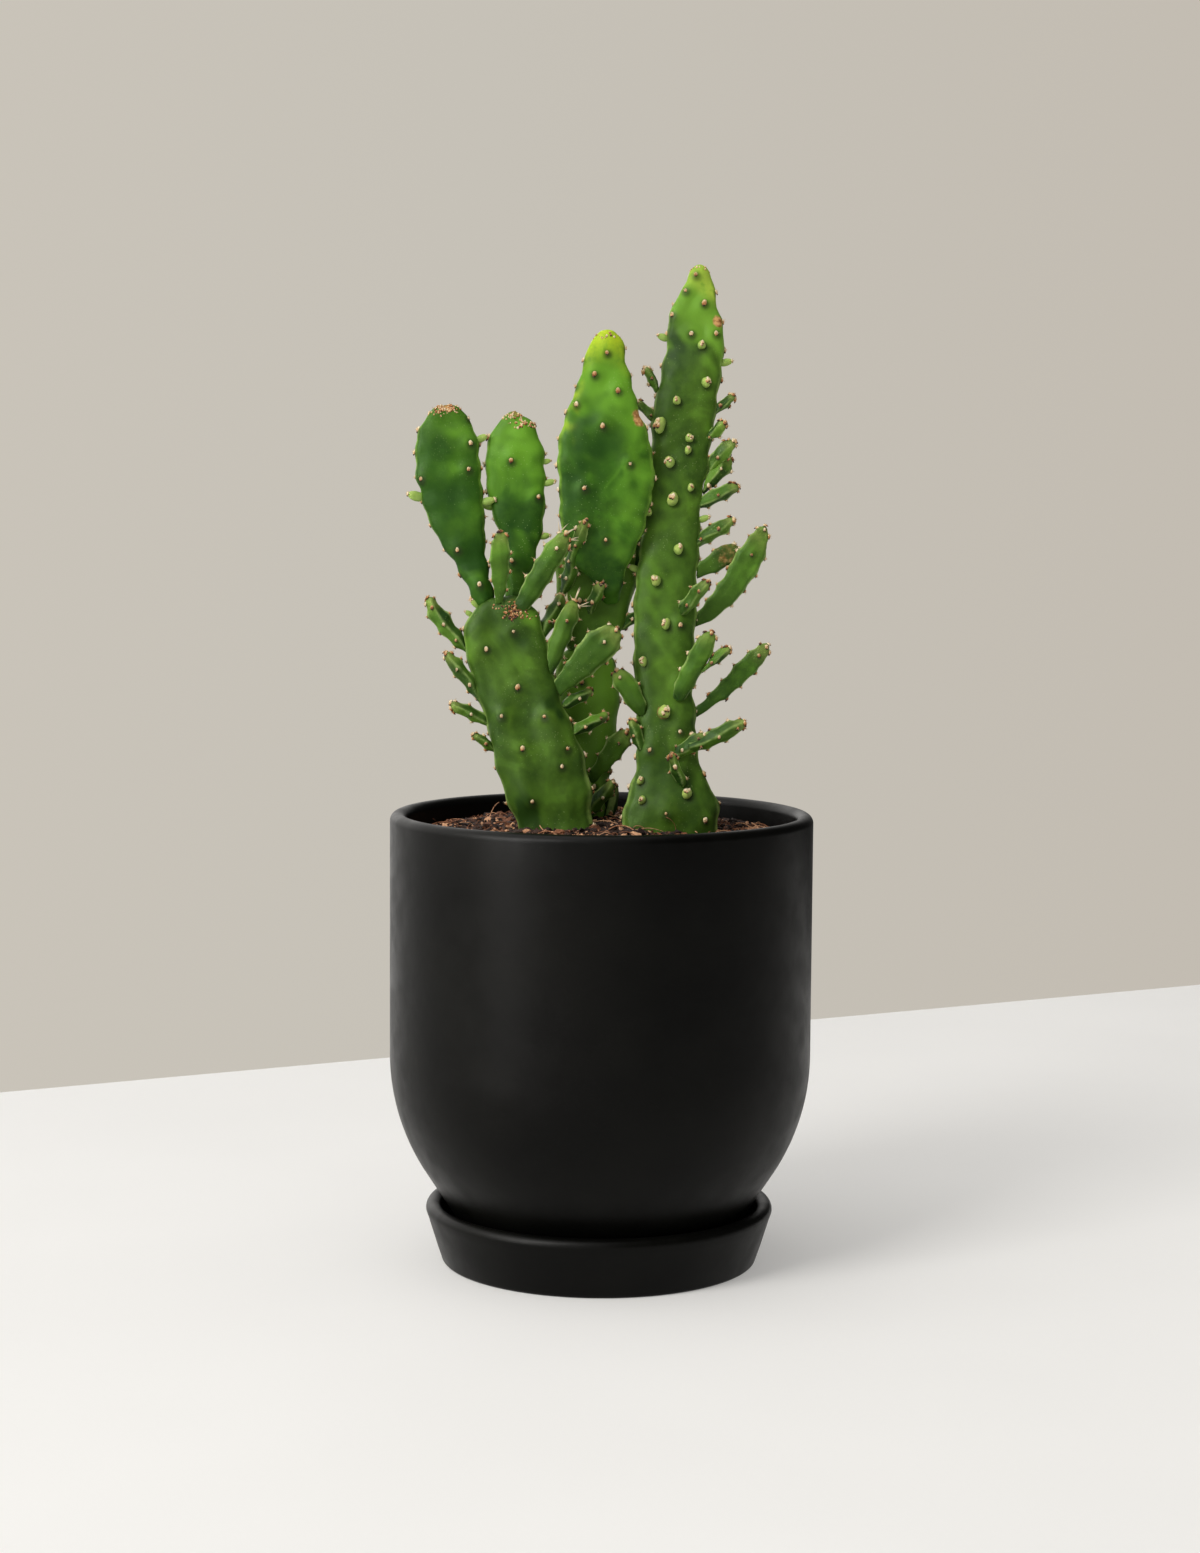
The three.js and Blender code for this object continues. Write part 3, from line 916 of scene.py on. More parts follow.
@dataclass
class Pad:
    """An old flat segment: its areoles by share of height and half width, and where it is freshest."""

    node: str
    front: Sequence[tuple[float, float]]
    slot: Slot
    # How much darker in tone the whole pad is; darker patches and the shoots add painted shade to the same
    # mark.
    dark_tone_and_painted_shade: float = 0.15
    fresh_from: float = 2.0
    fresh_to: float = 3.0
    tip_from: Optional[float] = None
    pitch: float = 11 * MM
    crusts: Sequence[tuple[float, float]] = ()
    scars: Sequence[tuple[float, float]] = ()
    flatness: float = 0.74
    furrows: float = 0.0
    slant: float = 0.0
    gilded: float = 0.0
    # Patches of lighter and darker skin: share of height, share of half width, reach in mm and amount. They
    # are partly the skin's own mottling and partly painted light and shade, darker in creases, notches and
    # joints and lighter along lit edges. They also raise or sink the skin a little.
    patches: Sequence[tuple[float, float, float, float]] = ()
    # Places of buds on the front, by share of height and half width, where a painted shadow is laid round
    # their feet.
    bud_shadow_spots: Sequence[tuple[float, float]] = ()
    scales: int = 60
    scale_shade: float = 0.38
    spread: float = 1.8 * MM
    voxel: float = 0.45 * MM
    rounding: float = 1.5 * MM
    seed: int = 1
    mounds: np.ndarray = field(init=False)
    patch_tone_and_painted_light: np.ndarray = field(init=False)

    def _areoles(self, flesh: Flesh, rng: Rng) -> tuple[list[Spot], list[Spot]]:
        """Places the areoles.

        Args:
            flesh: The segment.
            rng: The seeded scatter.

        Returns:
            Those on its faces and those on its margins.
        """
        face = [flesh.spot(h, w, Face.FRONT) for h, w in self.front]
        rows = max(2, round((flesh.high[2] - flesh.low[2]) / self.pitch))
        edge = []
        for row in range(rows):
            height = (row + 0.6) / rows
            for side in (-0.5, 0.45) if row % 2 else (0.0,):
                level = height + rng.uniform(-0.02, 0.02)
                face.append(flesh.spot(level, side + rng.uniform(-0.12, 0.12), Face.BACK))
            for shift, margin in ((0.0, Face.LEFT), (0.45, Face.RIGHT)):
                edge.append(flesh.spot((row + 0.35 + shift) / rows * 0.97, 0, margin))
        return [s for s in face if s], [s for s in edge if s]

    def build(self, skin: Material, areoles: Areoles) -> Flesh:
        """Builds the segment with its tubercles, scallops and areoles.

        Args:
            skin: Its material.
            areoles: The stem's gathered areoles.

        Returns:
            The finished segment.
        """
        flesh = Flesh(self.node, self.voxel, self.rounding)
        flesh.frame_by(np.array([0.0, 0, 1]), np.array([1.0, 0, 0]))
        flesh.flatten(self.flatness)
        rng = np.random.default_rng(self.seed)
        face, edge = self._areoles(flesh, rng)
        crusts = flesh.on_front(self.crusts)
        crest = flesh.near(crusts, 3.6 * MM) * 0.9 * MM
        self._relief(flesh, face, edge, crest)
        self._colours(flesh, face + edge, crest)
        for place, normal in face + edge:
            ground, _, _, _ = flesh.tree.find_nearest(place + normal * 0.5 * MM)
            size, bristles = rng.uniform(0.5, 0.8) * MM, int(rng.integers(5, 9))
            areoles.tuft((ground, normal), size, bristles, shade=rng.uniform(0.1, 0.5))
        for spot in crusts:
            areoles.cluster(flesh, spot, self.spread, self.scales, self.scale_shade)
        finished(flesh.piece, skin, self.slot, self.node)
        return flesh

    def _relief(self, flesh: Flesh, face: list[Spot], edge: list[Spot], crest: np.ndarray) -> None:
        """Raises mounds under the areoles, scallops, ripples and patches.

        Args:
            flesh: The segment. It keeps the mounds and patches, which its colours follow.
            face: The areoles on its faces.
            edge: Those on its margins.
            crest: The height of its crusts' ground.
        """
        rim = smoothstep(np.abs(flesh.side), 0.7, 0.97)
        self.mounds = flesh.near(face, 2.7 * MM) * 0.95 * MM
        dimples = flesh.near(face, 1.0 * MM) * 0.3 * MM
        scallop = flesh.near(edge, 3.2 * MM) * 0.7 * MM * (0.3 + 0.7 * rim)
        swell = ripples(flesh.points, 19 * MM, self.seed) * 0.36 * MM
        swell += ripples(flesh.points, 7 * MM, self.seed + 50) * 0.1 * MM
        swell += self.furrows * MM * ripples(flesh.points * (1, 1, 0.3), 10 * MM, self.seed + 9)
        self.patch_tone_and_painted_light = np.zeros(len(rim))
        for height, side, reach, amount in self.patches:
            self.patch_tone_and_painted_light += amount * flesh.near(flesh.on_front([(height, side)]), reach * MM)
        flesh.raise_by(self.mounds - dimples + scallop + swell + crest + (0.45 * self.patch_tone_and_painted_light - 0.15) * MM)

    def _colours(self, flesh: Flesh, spots: list[Spot], crest: np.ndarray) -> None:
        """Marks where the skin is pale, fresh, darker in tone, lighter and darker in patches that are partly
        painted light and shade, darkened by painted shadows below areoles and buds, and corky.

        Args:
            flesh: The segment.
            spots: Its areoles.
            crest: The height of its crusts' ground.
        """
        # Patch tone and painted light and shade: lighter patches add freshness, darker ones add painted
        # shade.
        patch_tone_and_painted_light = self.patch_tone_and_painted_light * (1 + 0.5 * ripples(flesh.points, 5 * MM, self.seed + 31))
        drift = 0.04 * ripples(flesh.points, 12 * MM, self.seed + 3) + self.slant * flesh.side
        flesh.mark("margin", smoothstep(np.abs(flesh.side), 0.92, 0.985) * flesh.slim)
        fresh = smoothstep(flesh.level + drift, self.fresh_from, self.fresh_to)
        flesh.mark("fresh", np.clip(fresh + patch_tone_and_painted_light, 0, 1))
        gloom = 0.35 * smoothstep(ripples(flesh.points, 24 * MM, self.seed + 21), 0.2, 1.3)
        flesh.mark("dark_tone_and_painted_shade", np.clip(self.dark_tone_and_painted_shade + gloom - patch_tone_and_painted_light - 0.5 * self.mounds / MM, 0, 1))
        edging = smoothstep(-flesh.side, 0.6, 0.97) * smoothstep(flesh.level, 0.5, 0.8)
        edging *= smoothstep(ripples(flesh.points, 5 * MM, self.seed + 41), -0.4, 1.2)
        tip = self.gilded * edging
        if self.tip_from is not None:
            tip = np.maximum(tip, smoothstep(flesh.level + drift * 0.5, self.tip_from, 1.0))
        flesh.mark("tip", tip)
        # Painted shadow: dark rings round the areoles and bud feet, pushed below and to the right, away from
        # the key light.
        below = Vector((0.25, 0, -0.6)) * MM
        painted_shadow_and_dry = flesh.near(spots, 1.7 * MM, shift=below, lift=0.4 * MM)
        foot = flesh.near(flesh.on_front(self.bud_shadow_spots), 2.1 * MM, shift=below * 1.5)
        flesh.mark("painted_shadow_and_dry", np.maximum(painted_shadow_and_dry, 0.8 * foot))
        scar = flesh.near(flesh.on_front(self.scars), 2.6 * MM)
        flesh.mark("cork", 0.75 * scar + 0.015 * self.scales * crest / MM * (flesh.level > 0.98))


@dataclass
class Shoot:
    """A young shoot: a small flat segment with areoles along its margins and round its tip."""

    node: str
    spines: float = 0.8
    dry: float = 0.0
    pale: bool = False
    plain_from: float = 2.9 * MM
    voxel: float = 0.34 * MM
    rounding: float = 0.6 * MM
    flatness: float = 0.78
    seed: int = 1

    @staticmethod
    def _axes(flesh: Flesh) -> tuple[np.ndarray, np.ndarray]:
        """Finds the shoot's own directions.

        Args:
            flesh: The shoot's mesh.

        Returns:
            Its long direction, tip upwards, and the direction of its width.
        """
        _, _, axes = np.linalg.svd(flesh.points[::5] - flesh.points.mean(axis=0), full_matrices=False)
        along = axes[0] * (1 if axes[0][2] > 0 else -1)
        return along, axes[1]

    def _areoles(self, flesh: Flesh) -> list[Spot]:
        """Places areoles up the shoot, by turns on a margin and a face, and round its tip.

        Args:
            flesh: The shoot's mesh.

        Returns:
            The areoles' places and normals, the tip's last.
        """
        up = flesh.points @ flesh.along
        long = up.max() - up.min()
        count = max(4, round(long / (2.0 * MM)))
        ways = (flesh.across, flesh.out, -flesh.across, -flesh.out)
        turns = [(0.2 + 0.66 * k / (count - 1), (k + self.seed) % 4) for k in range(count)]
        wide = flesh.half.max() > self.plain_from
        kept = [(share, turn) for share, turn in turns if not wide or turn in (0, 2) or share >= 0.7]
        turns = [(share, ways[turn]) for share, turn in kept]
        turns += [(0.93, way + 0.35 * flesh.along) for way in ways[::2]]
        turns += [(0.96, ways[1] + 0.8 * flesh.along)]
        spots = []
        for share, way in turns:
            band = flesh.points[np.abs(up - up.min() - share * long) < 0.6 * MM]
            way = way / np.linalg.norm(way)
            if len(band):
                outside = Vector(band.mean(axis=0) + way * 20 * MM)
                place, normal, _, _ = flesh.tree.ray_cast(outside, Vector(-way))
                if place is not None:
                    spots.append((place, normal))
        spots.append((Vector(flesh.points[np.argmax(up)]), Vector(flesh.along)))
        return spots

    def build(self, skin: Material, areoles: Areoles) -> Flesh:
        """Builds the shoot.

        Args:
            skin: Its material.
            areoles: The stem's gathered areoles.

        Returns:
            The finished shoot.
        """
        flesh = Flesh(self.node, self.voxel, self.rounding)
        flesh.frame_by(*self._axes(flesh))
        flesh.flatten(self.flatness)
        rng = np.random.default_rng(self.seed)
        plain = flesh.half.max() > self.plain_from
        ridge = rng.uniform(-0.35, 0.35) + 0.12 * np.sin(flesh.level * 7 + self.seed)
        keel = np.clip(1 - np.abs(flesh.side - ridge) / 0.8, 0, 1) * (0.12 if plain else 0.75) * MM
        flesh.raise_by(keel - 0.2 * MM)
        spots = self._areoles(flesh)
        lumps = flesh.near(spots[:-1], 1.25 * MM) * 0.5 * MM
        flesh.raise_by(lumps + ripples(flesh.points, 6 * MM, self.seed) * 0.14 * MM)
        self._colours(flesh, spots, ridge, rng.uniform(0.0, 0.5), plain)
        for k, (place, normal) in enumerate(spots):
            top = len(spots) - k <= 4
            spiny = self.spines > 1
            ground, _, _, _ = flesh.tree.find_nearest(place + normal * 0.4 * MM)
            size = rng.uniform(0.4, 0.6) * (1.25 if top else 1.0) * MM
            bristles = 2 if top and spiny else int(rng.integers(4, 8))
            length = (self.spines if top or not spiny else 1.2) * MM
            areoles.tuft((ground, normal), size, bristles, rng.uniform(0.1, 0.78), length)
        finished(flesh.piece, skin, Slot.SHOOT, self.node)
        return flesh

    def _colours(self, flesh: Flesh, spots: list[Spot], ridge: np.ndarray, fresh: float, plain: bool) -> None:
        """Marks where the skin is pale, fresh, darker in random patches, darkened by painted shade on one
        side of the keel and at the base, darkened by painted shadows below areoles and by dryness, and corky.

        Args:
            flesh: The shoot's mesh.
            spots: Its areoles.
            ridge: Where its keel runs, as a share of the half width.
            fresh: How fresh it is.
            plain: Whether it is wide and has no sharp keel.
        """
        line = 0.0 if plain else 0.8 * np.exp(-(((flesh.side - ridge) / 0.1) ** 2))
        flesh.mark("margin", np.maximum(smoothstep(np.abs(flesh.side), 0.82, 0.98), line))
        flesh.mark("fresh", np.full(len(ridge), fresh + 0.6 * self.pale))
        # Painted shade: one side of the keel is darker, and so is the base of the shoot.
        shade = 0.85 * smoothstep(flesh.side, ridge - 0.06, ridge + 0.06) * (0.2 if plain else 1.0)
        shade += 0.5 * smoothstep(flesh.level, 0.35, 0.0)
        gloom = 0.3 * smoothstep(ripples(flesh.points, 9 * MM, self.seed + 21), 0.0, 1.2)
        flesh.mark("dark_tone_and_painted_shade", np.clip(shade + gloom, 0, 1))
        flesh.mark("tip", smoothstep(flesh.level, 0.72, 1.1) * 0.55)
        aged = self.dry * smoothstep(flesh.level, 0.1, 0.7)
        # Painted shadow just below each areole, and the darker skin of a dry shoot.
        painted_shadow_and_dry = flesh.near(spots, 0.85 * MM, shift=(0, 0, -0.2 * MM))
        flesh.mark("painted_shadow_and_dry", np.maximum(0.72 * aged, painted_shadow_and_dry))
        flesh.mark("cork", 0.5 * aged)


Place = tuple[float, float | Face, float]


@dataclass
class Buds:
    """Stubby buds that stand on a pad's front or margins, each with a woolly tip."""

    name: str
    places: dict[str, Sequence[Place]]
    sunk: float = 0.5 * MM
    seed: int = 5

    def _bud(
        self, surface: Surface, areoles: Areoles, rng: Rng, spot: Spot, size: float, slender: bool
    ) -> None:
        """Adds one bud.

        Args:
            surface: Where the buds are gathered.
            areoles: The stem's gathered areoles.
            rng: The seeded scatter.
            spot: Its place and the skin's normal there.
            size: Its usual length.
            slender: Whether it stands on a margin, and is longer and thinner.
        """
        place, normal = spot
        if slender:
            lean, radius, tall = Vector((normal.x * 2, -0.3, 0.9)), 0.25 * size, 1.1 * size
        else:
            lean = Vector((rng.uniform(-0.5, 0.5), 0, rng.uniform(0.2, 0.6)))
            radius, tall = 0.4 * size, 0.85 * size
        way = (normal + lean).normalized()
        turn = np.array(way.to_track_quat("Z", "Y").to_matrix())
        rings, sides = 8, 16
        points = [[0, 0, -self.sunk - 0.1 * MM]]
        for ring in range(rings):
            share = ring / (rings - 1)
            wide = radius * math.sqrt(1 - ((share - 0.42) / 0.62) ** 2)
            for k in range(sides):
                angle = 2 * math.pi * k / sides
                bump = 1 + 0.1 * math.cos(2 * angle + 9 * size / MM)
                bump += 0.07 * math.cos(3 * angle + 5 * size / MM) + rng.uniform(-0.05, 0.05)
                far = wide * bump
                level = tall * share * 0.93 - self.sunk
                points.append([far * math.cos(angle), 1.3 * far * math.sin(angle), level])
        points.append([0, 0, tall - self.sunk])
        local = np.array(points)
        shade = np.clip(local[:, 2] / tall, 0, 1) * (0.5 if slender else 1)
        surface.add(local @ turn.T + np.array(place), capped(rings, sides), shade)
        for number in range(5):
            off = rng.uniform(-0.55, 0.55, 2) * (number > 0)
            shift = turn @ np.array([*off, -0.9 * (off @ off)]) * radius
            tip = place + way * (tall - self.sunk - 0.1 * MM) + Vector(shift)
            areoles.tuft((tip, way), radius * 0.36, 2, rng.uniform(0.0, 0.4), length=0.6 * MM)

    def build(self, bodies: dict[str, Flesh], skin: Material, areoles: Areoles) -> None:
        """Builds the buds on the finished pads.

        Args:
            bodies: The stem's pads by node.
            skin: The buds' material.
            areoles: The stem's gathered areoles.
        """
        rng = np.random.default_rng(self.seed)
        surface = Surface()
        for node, places in self.places.items():
            for height, side, size in places:
                slender = isinstance(side, Face)
                spot = bodies[node].spot(height, 0 if slender else side, side if slender else Face.FRONT)
                if spot is not None:
                    self._bud(surface, areoles, rng, spot, size * MM, slender)
        piece = surface.piece(self.name)
        shades = np.concatenate(surface.shades)
        none = np.zeros(len(shades))
        marks = {
            "margin": np.minimum(1, 0.45 + shades),
            "fresh": np.minimum(1, 0.6 + shades),
            "tip": np.minimum(1, 0.2 + shades),
            "painted_shadow_and_dry": none,
            "dark_tone_and_painted_shade": none,
            "cork": 0.46 * shades**2,
        }
        for name, values in marks.items():
            store(piece.data, name, values)
        finished(piece, skin, Slot.SHOOT)


@dataclass
class Stem:
    """One of the plant's three stems: its pads, its shoots and their areoles."""

    name: str
    pads: Sequence[Pad]
    spiny: Sequence[str] = ()
    dry: Sequence[str] = ()
    pale: Sequence[str] = ()
    buds: dict[str, Sequence[Place]] = field(default_factory=dict)
    seed: int = 1

    def build(self, skins: dict[Slot, Material], wool: Material) -> None:
        """Builds and dresses the whole stem.

        Args:
            skins: The skin for each slot.
            wool: The areoles' material.
        """
        areoles = Areoles(f"{self.name}_areoles", self.seed)
        bodies = {pad.node: pad.build(skins[pad.slot], areoles) for pad in self.pads}
        owners = tuple(f"{pad.node}_shoot" for pad in self.pads)
        for number, node in enumerate(sorted(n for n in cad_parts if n.startswith(owners))):
            shoot = Shoot(node, pale=node in self.pale, seed=self.seed * 100 + number)
            shoot.spines = 3.6 if node in self.spiny else 0.8
            shoot.dry = 0.85 if node in self.dry else 0.0
            shoot.build(skins[Slot.SHOOT], areoles)
        if self.buds:
            Buds(f"{self.name}_buds", self.buds).build(bodies, skins[Slot.SHOOT], areoles)
        areoles.finish(wool)
        LOG.info("%s stem: %d pads", self.name, len(bodies))


# ---- Pot, saucer and soil ------------------------------------------------------------------------


@dataclass
class Pot:
    """A straight-walled pot that curves in to a cone and a small foot, with a drain hole."""

    wall: float = 5 * MM
    floor: float = 6 * MM
    belly_height: float = 59.7 * MM
    belly_radius: float = 66 * MM
    taper: float = 33.5
    foot_edge: float = 2.5 * MM
    drain_radius: float = 7 * MM
    steps: int = 192

    def __post_init__(self) -> None:
        """Takes the outside sizes from the frame."""
        low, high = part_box("pot")
        self.foot, self.rim = low.z, high.z
        self.radius = high.x

    def radius_at(self, height: float, inset: float) -> float:
        """Radius of the surface that lies inside the pot's outside.

        Args:
            height: Height above the foot.
            inset: How far inside.

        Returns:
            Its radius there.
        """
        lean = math.radians(self.taper)
        centre, radius = self.radius - self.belly_radius, self.belly_radius - inset
        if height >= self.belly_height:
            return self.radius - inset
        cone_top = self.belly_height - radius * math.sin(lean)
        if height >= cone_top:
            return centre + math.sqrt(radius**2 - (height - self.belly_height) ** 2)
        return centre + radius * math.cos(lean) - (cone_top - height) * math.tan(lean)

    def belly(self, inset: float) -> np.ndarray:
        """The curve between cone and straight wall, upwards, at an inset."""
        centre = (self.radius - self.belly_radius, self.belly_height)
        return arc(centre, self.belly_radius - inset, -self.taper, 0, 30)

    def build(self, finish: Ceramic) -> None:
        """Turns and dresses the pot.

        Args:
            finish: Its ceramic.
        """
        lip, tall = self.wall / 2, self.rim - self.foot
        foot = self.radius_at(self.foot_edge, 0)
        profile = np.vstack(
            [
                [[self.drain_radius + 0.8 * MM, 0], [foot - 4.2 * MM, 0]],
                arc((foot - self.foot_edge * 1.1, self.foot_edge), self.foot_edge, -80, -20, 6),
                self.belly(0),
                [[self.radius, tall * share] for share in (0.6, 0.75, 0.9)],
                arc((self.radius - lip, tall - lip), lip, 0, 180, 18),
                [[self.radius - self.wall, tall * share] for share in (0.9, 0.75, 0.6)],
                self.belly(self.wall)[::-1],
                [[self.radius_at(self.floor + 2 * MM, self.wall), self.floor + 2 * MM]],
                [[self.radius_at(self.floor, self.wall) - 2 * MM, self.floor]],
                [[self.drain_radius + 0.8 * MM, self.floor]],
                [[self.drain_radius, self.floor - 0.8 * MM], [self.drain_radius, 0.8 * MM]],
            ]
        )
        profile[:, 1] += self.foot
        finished(turned("pot_body", profile, self.steps), finish.material(), Slot.CERAMIC, "pot")


@dataclass
class Saucer:
    """A shallow flared dish with a rounded lip."""

    wall: float = 4.9 * MM
    floor: float = 5 * MM
    flare: float = 0.31
    foot_edge: float = 1.6 * MM
    steps: int = 192

    def build(self, finish: Ceramic) -> None:
        """Turns and dresses the saucer.

        Args:
            finish: Its ceramic.
        """
        _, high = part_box("saucer")
        lip = self.wall / 2
        lip_height = high.z - lip

        def inner(height: float) -> float:
            """Inner radius at a height."""
            return high.x - self.wall - self.flare * (lip_height - height)

        foot = inner(0) + self.wall
        profile = np.vstack(
            [
                [[0, 0], [foot - 3 * MM, 0]],
                arc((foot - self.foot_edge + 0.3 * MM, self.foot_edge), self.foot_edge, -85, -17, 6),
                [[inner(lip_height * s) + self.wall, lip_height * s] for s in (0.35, 0.6, 0.85)],
                arc((inner(lip_height) + lip, lip_height), lip, -10, 190, 18),
                [[inner(self.floor + 3 * MM), self.floor + 3 * MM]],
                arc((inner(self.floor) - 2.2 * MM, self.floor + 2.4 * MM), 2.4 * MM, -15, -90, 6),
                [[0, self.floor]],
            ]
        )
        finished(turned("saucer_body", profile, self.steps), finish.material(), Slot.CERAMIC, "saucer")


@dataclass
class Soil:
    """Potting mix: a mound with bark chips, crumbs and fibres on top."""

    gap: float = 0.3 * MM
    wall_drop: float = 8 * MM
    crown_drop: float = 1.8 * MM
    mound_power: float = 2.2
    chips: int = 4200
    crumbs: int = 5200
    fibres: int = 150
    shades: Sequence[float] = (0.05, 0.3, 0.6, 0.88)
    shares: Sequence[float] = (0.38, 0.28, 0.19, 0.15)
    seed: int = 77

    def mound(self, pot: Pot, radius: np.ndarray) -> np.ndarray:
        """Height of the mound's top at a radius.

        Args:
            pot: The pot that it fills.
            radius: Distance from the axis.

        Returns:
            The height.
        """
        edge = pot.radius - pot.wall - self.gap
        drop = self.crown_drop + (self.wall_drop - self.crown_drop) * (radius / edge) ** self.mound_power
        return pot.rim - drop

    def _bed(self, pot: Pot, material: Material) -> None:
        """Builds the soil's body with a rough top.

        Args:
            pot: The pot that it fills.
            material: Its material.
        """
        inset = pot.wall + self.gap
        edge = pot.radius - inset
        bottom = pot.floor + self.gap
        top = np.linspace(1, 0, 90)[:, None] * edge
        profile = np.vstack(
            [
                [[0, bottom + pot.foot], [pot.radius_at(bottom, inset), bottom + pot.foot]],
                pot.belly(inset)[::3] + (0, pot.foot),
                np.hstack([top, self.mound(pot, top)]),
            ]
        )
        bed = turned("soil_bed", profile, 240)
        points = coordinates(bed.data)
        radius = np.hypot(points[:, 0], points[:, 1])
        on_top = points[:, 2] > self.mound(pot, radius) - 0.01 * MM
        on_top = on_top * smoothstep(radius, edge, edge - 1.5 * MM)
        waves = ((0.7, 9 * MM, 4), (0.5, 3 * MM, 5), (0.25, 1.3 * MM, 6))
        rough = sum(height * ripples(points, length, seed) for height, length, seed in waves)
        points[:, 2] += on_top * (rough - 0.6) * MM
        bed.data.vertices.foreach_set("co", points.ravel())
        shade = np.clip(0.22 + 0.12 * ripples(points, 2.2 * MM, 8), 0, 1)
        store(bed.data, "shade", shade)
        bed.data.update()
        finished(bed, material, Slot.MIX, "soil")

    def _litter(self, pot: Pot, material: Material) -> None:
        """Scatters chips, crumbs and fibres over the mound.

        Args:
            pot: The pot that it fills.
            material: Their material.
        """
        rng = np.random.default_rng(self.seed)
        seedling = bmesh.new()
        bmesh.ops.create_icosphere(seedling, subdivisions=1, radius=1)
        ball = np.array([v.co for v in seedling.verts])
        ball_faces = [[v.index for v in f.verts] for f in seedling.faces]
        seedling.free()
        edge = pot.radius - pot.wall - self.gap
        litter = Surface()
        for number in range(self.chips + self.crumbs):
            chip = number < self.chips
            long = rng.lognormal(math.log(0.92 if chip else 0.5), 0.45) * MM
            long = min(long, 3.4 * MM)
            sizes = np.array([long, long * rng.uniform(0.45, 0.8), long * rng.uniform(0.2, 0.5)])
            turn = np.array(
                (Matrix.Rotation(rng.uniform(0, 6.28), 3, "Z") @ Matrix.Rotation(rng.normal() * 0.6, 3, "X"))
                @ Matrix.Rotation(rng.normal() * 0.5, 3, "Y")
            )
            radius = (edge - long) * math.sqrt(rng.uniform())
            angle = rng.uniform(0, 2 * math.pi)
            level = float(self.mound(pot, np.float64(radius))) + rng.uniform(-0.6, 0.5) * MM
            place = np.array([radius * math.cos(angle), radius * math.sin(angle), level])
            body = ball * sizes * rng.uniform(0.72, 1.25, size=(len(ball), 1))
            shade = rng.choice(self.shades, p=self.shares) + rng.normal() * 0.06
            litter.add(body @ turn.T + place, ball_faces, float(np.clip(shade, 0, 1)))
        for _ in range(self.fibres):
            self._fibre(pot, edge, litter, rng)
        finished(litter.piece("soil_litter", smooth=False), material, Slot.MIX)

    def _fibre(self, pot: Pot, edge: float, litter: Surface, rng: Rng) -> None:
        """Lays one curved coir fibre on the mound.

        Args:
            pot: The pot.
            edge: The soil's radius.
            litter: Where it is gathered.
            rng: The seeded scatter.
        """
        radius = (edge - 6 * MM) * math.sqrt(rng.uniform())
        angle, heading = rng.uniform(0, 2 * math.pi, 2)
        bend = rng.uniform(-0.35, 0.35)
        rise = 5 * MM * (rng.uniform() < 0.14)
        step = rng.uniform(0.6, 1.5) * MM
        thick = rng.uniform(0.08, 0.2) * MM
        spot = np.array([radius * math.cos(angle), radius * math.sin(angle)])
        rings, sides = 7, 4
        points = []
        for ring in range(rings):
            way = np.array([math.cos(heading), math.sin(heading)])
            height = float(self.mound(pot, np.hypot(*spot))) + rise * ring / rings
            height += (0.7 + 0.9 * math.sin(math.pi * ring / (rings - 1))) * MM
            across = np.array([-way[1], way[0], 0])
            for k in range(sides):
                turn = 2 * math.pi * k / sides
                up = np.array([0, 0, thick * math.sin(turn)])
                points.append(np.array([*spot, height]) + across * thick * math.cos(turn) + up)
            spot = spot + way * step
            heading += bend
        faces = [tuple(range(sides))[::-1], tuple(range((rings - 1) * sides, rings * sides))]
        for ring in range(rings - 1):
            faces += hoop(ring * sides, sides)
        litter.add(np.array(points), faces, rng.uniform(0.5, 0.9))

    def build(self, pot: Pot) -> None:
        """Builds and dresses the soil.

        Args:
            pot: The pot that it fills.
        """
        material = PottingMix("potting_mix").material()
        self._bed(pot, material)
        self._litter(pot, material)


# ---- Studio --------------------------------------------------------------------------------------


@dataclass(frozen=True)
class Lamp:
    """A soft rectangular light: where it stands, its width and height, watts and colour."""

    name: str
    place: tuple[float, float, float]
    size: tuple[float, float]
    power: float
    colour: tuple[float, float, float]

    def build(self, aim: Vector) -> None:
        """Hangs the light so that it faces a point."""
        data = bpy.data.lights.new(self.name, "AREA")
        data.shape = "RECTANGLE"
        data.size, data.size_y = self.size
        data.energy = self.power
        data.color = self.colour
        lamp = linked(self.name, data)
        lamp.location = self.place
        lamp.rotation_euler = (aim - Vector(self.place)).to_track_quat("-Z", "Y").to_euler()


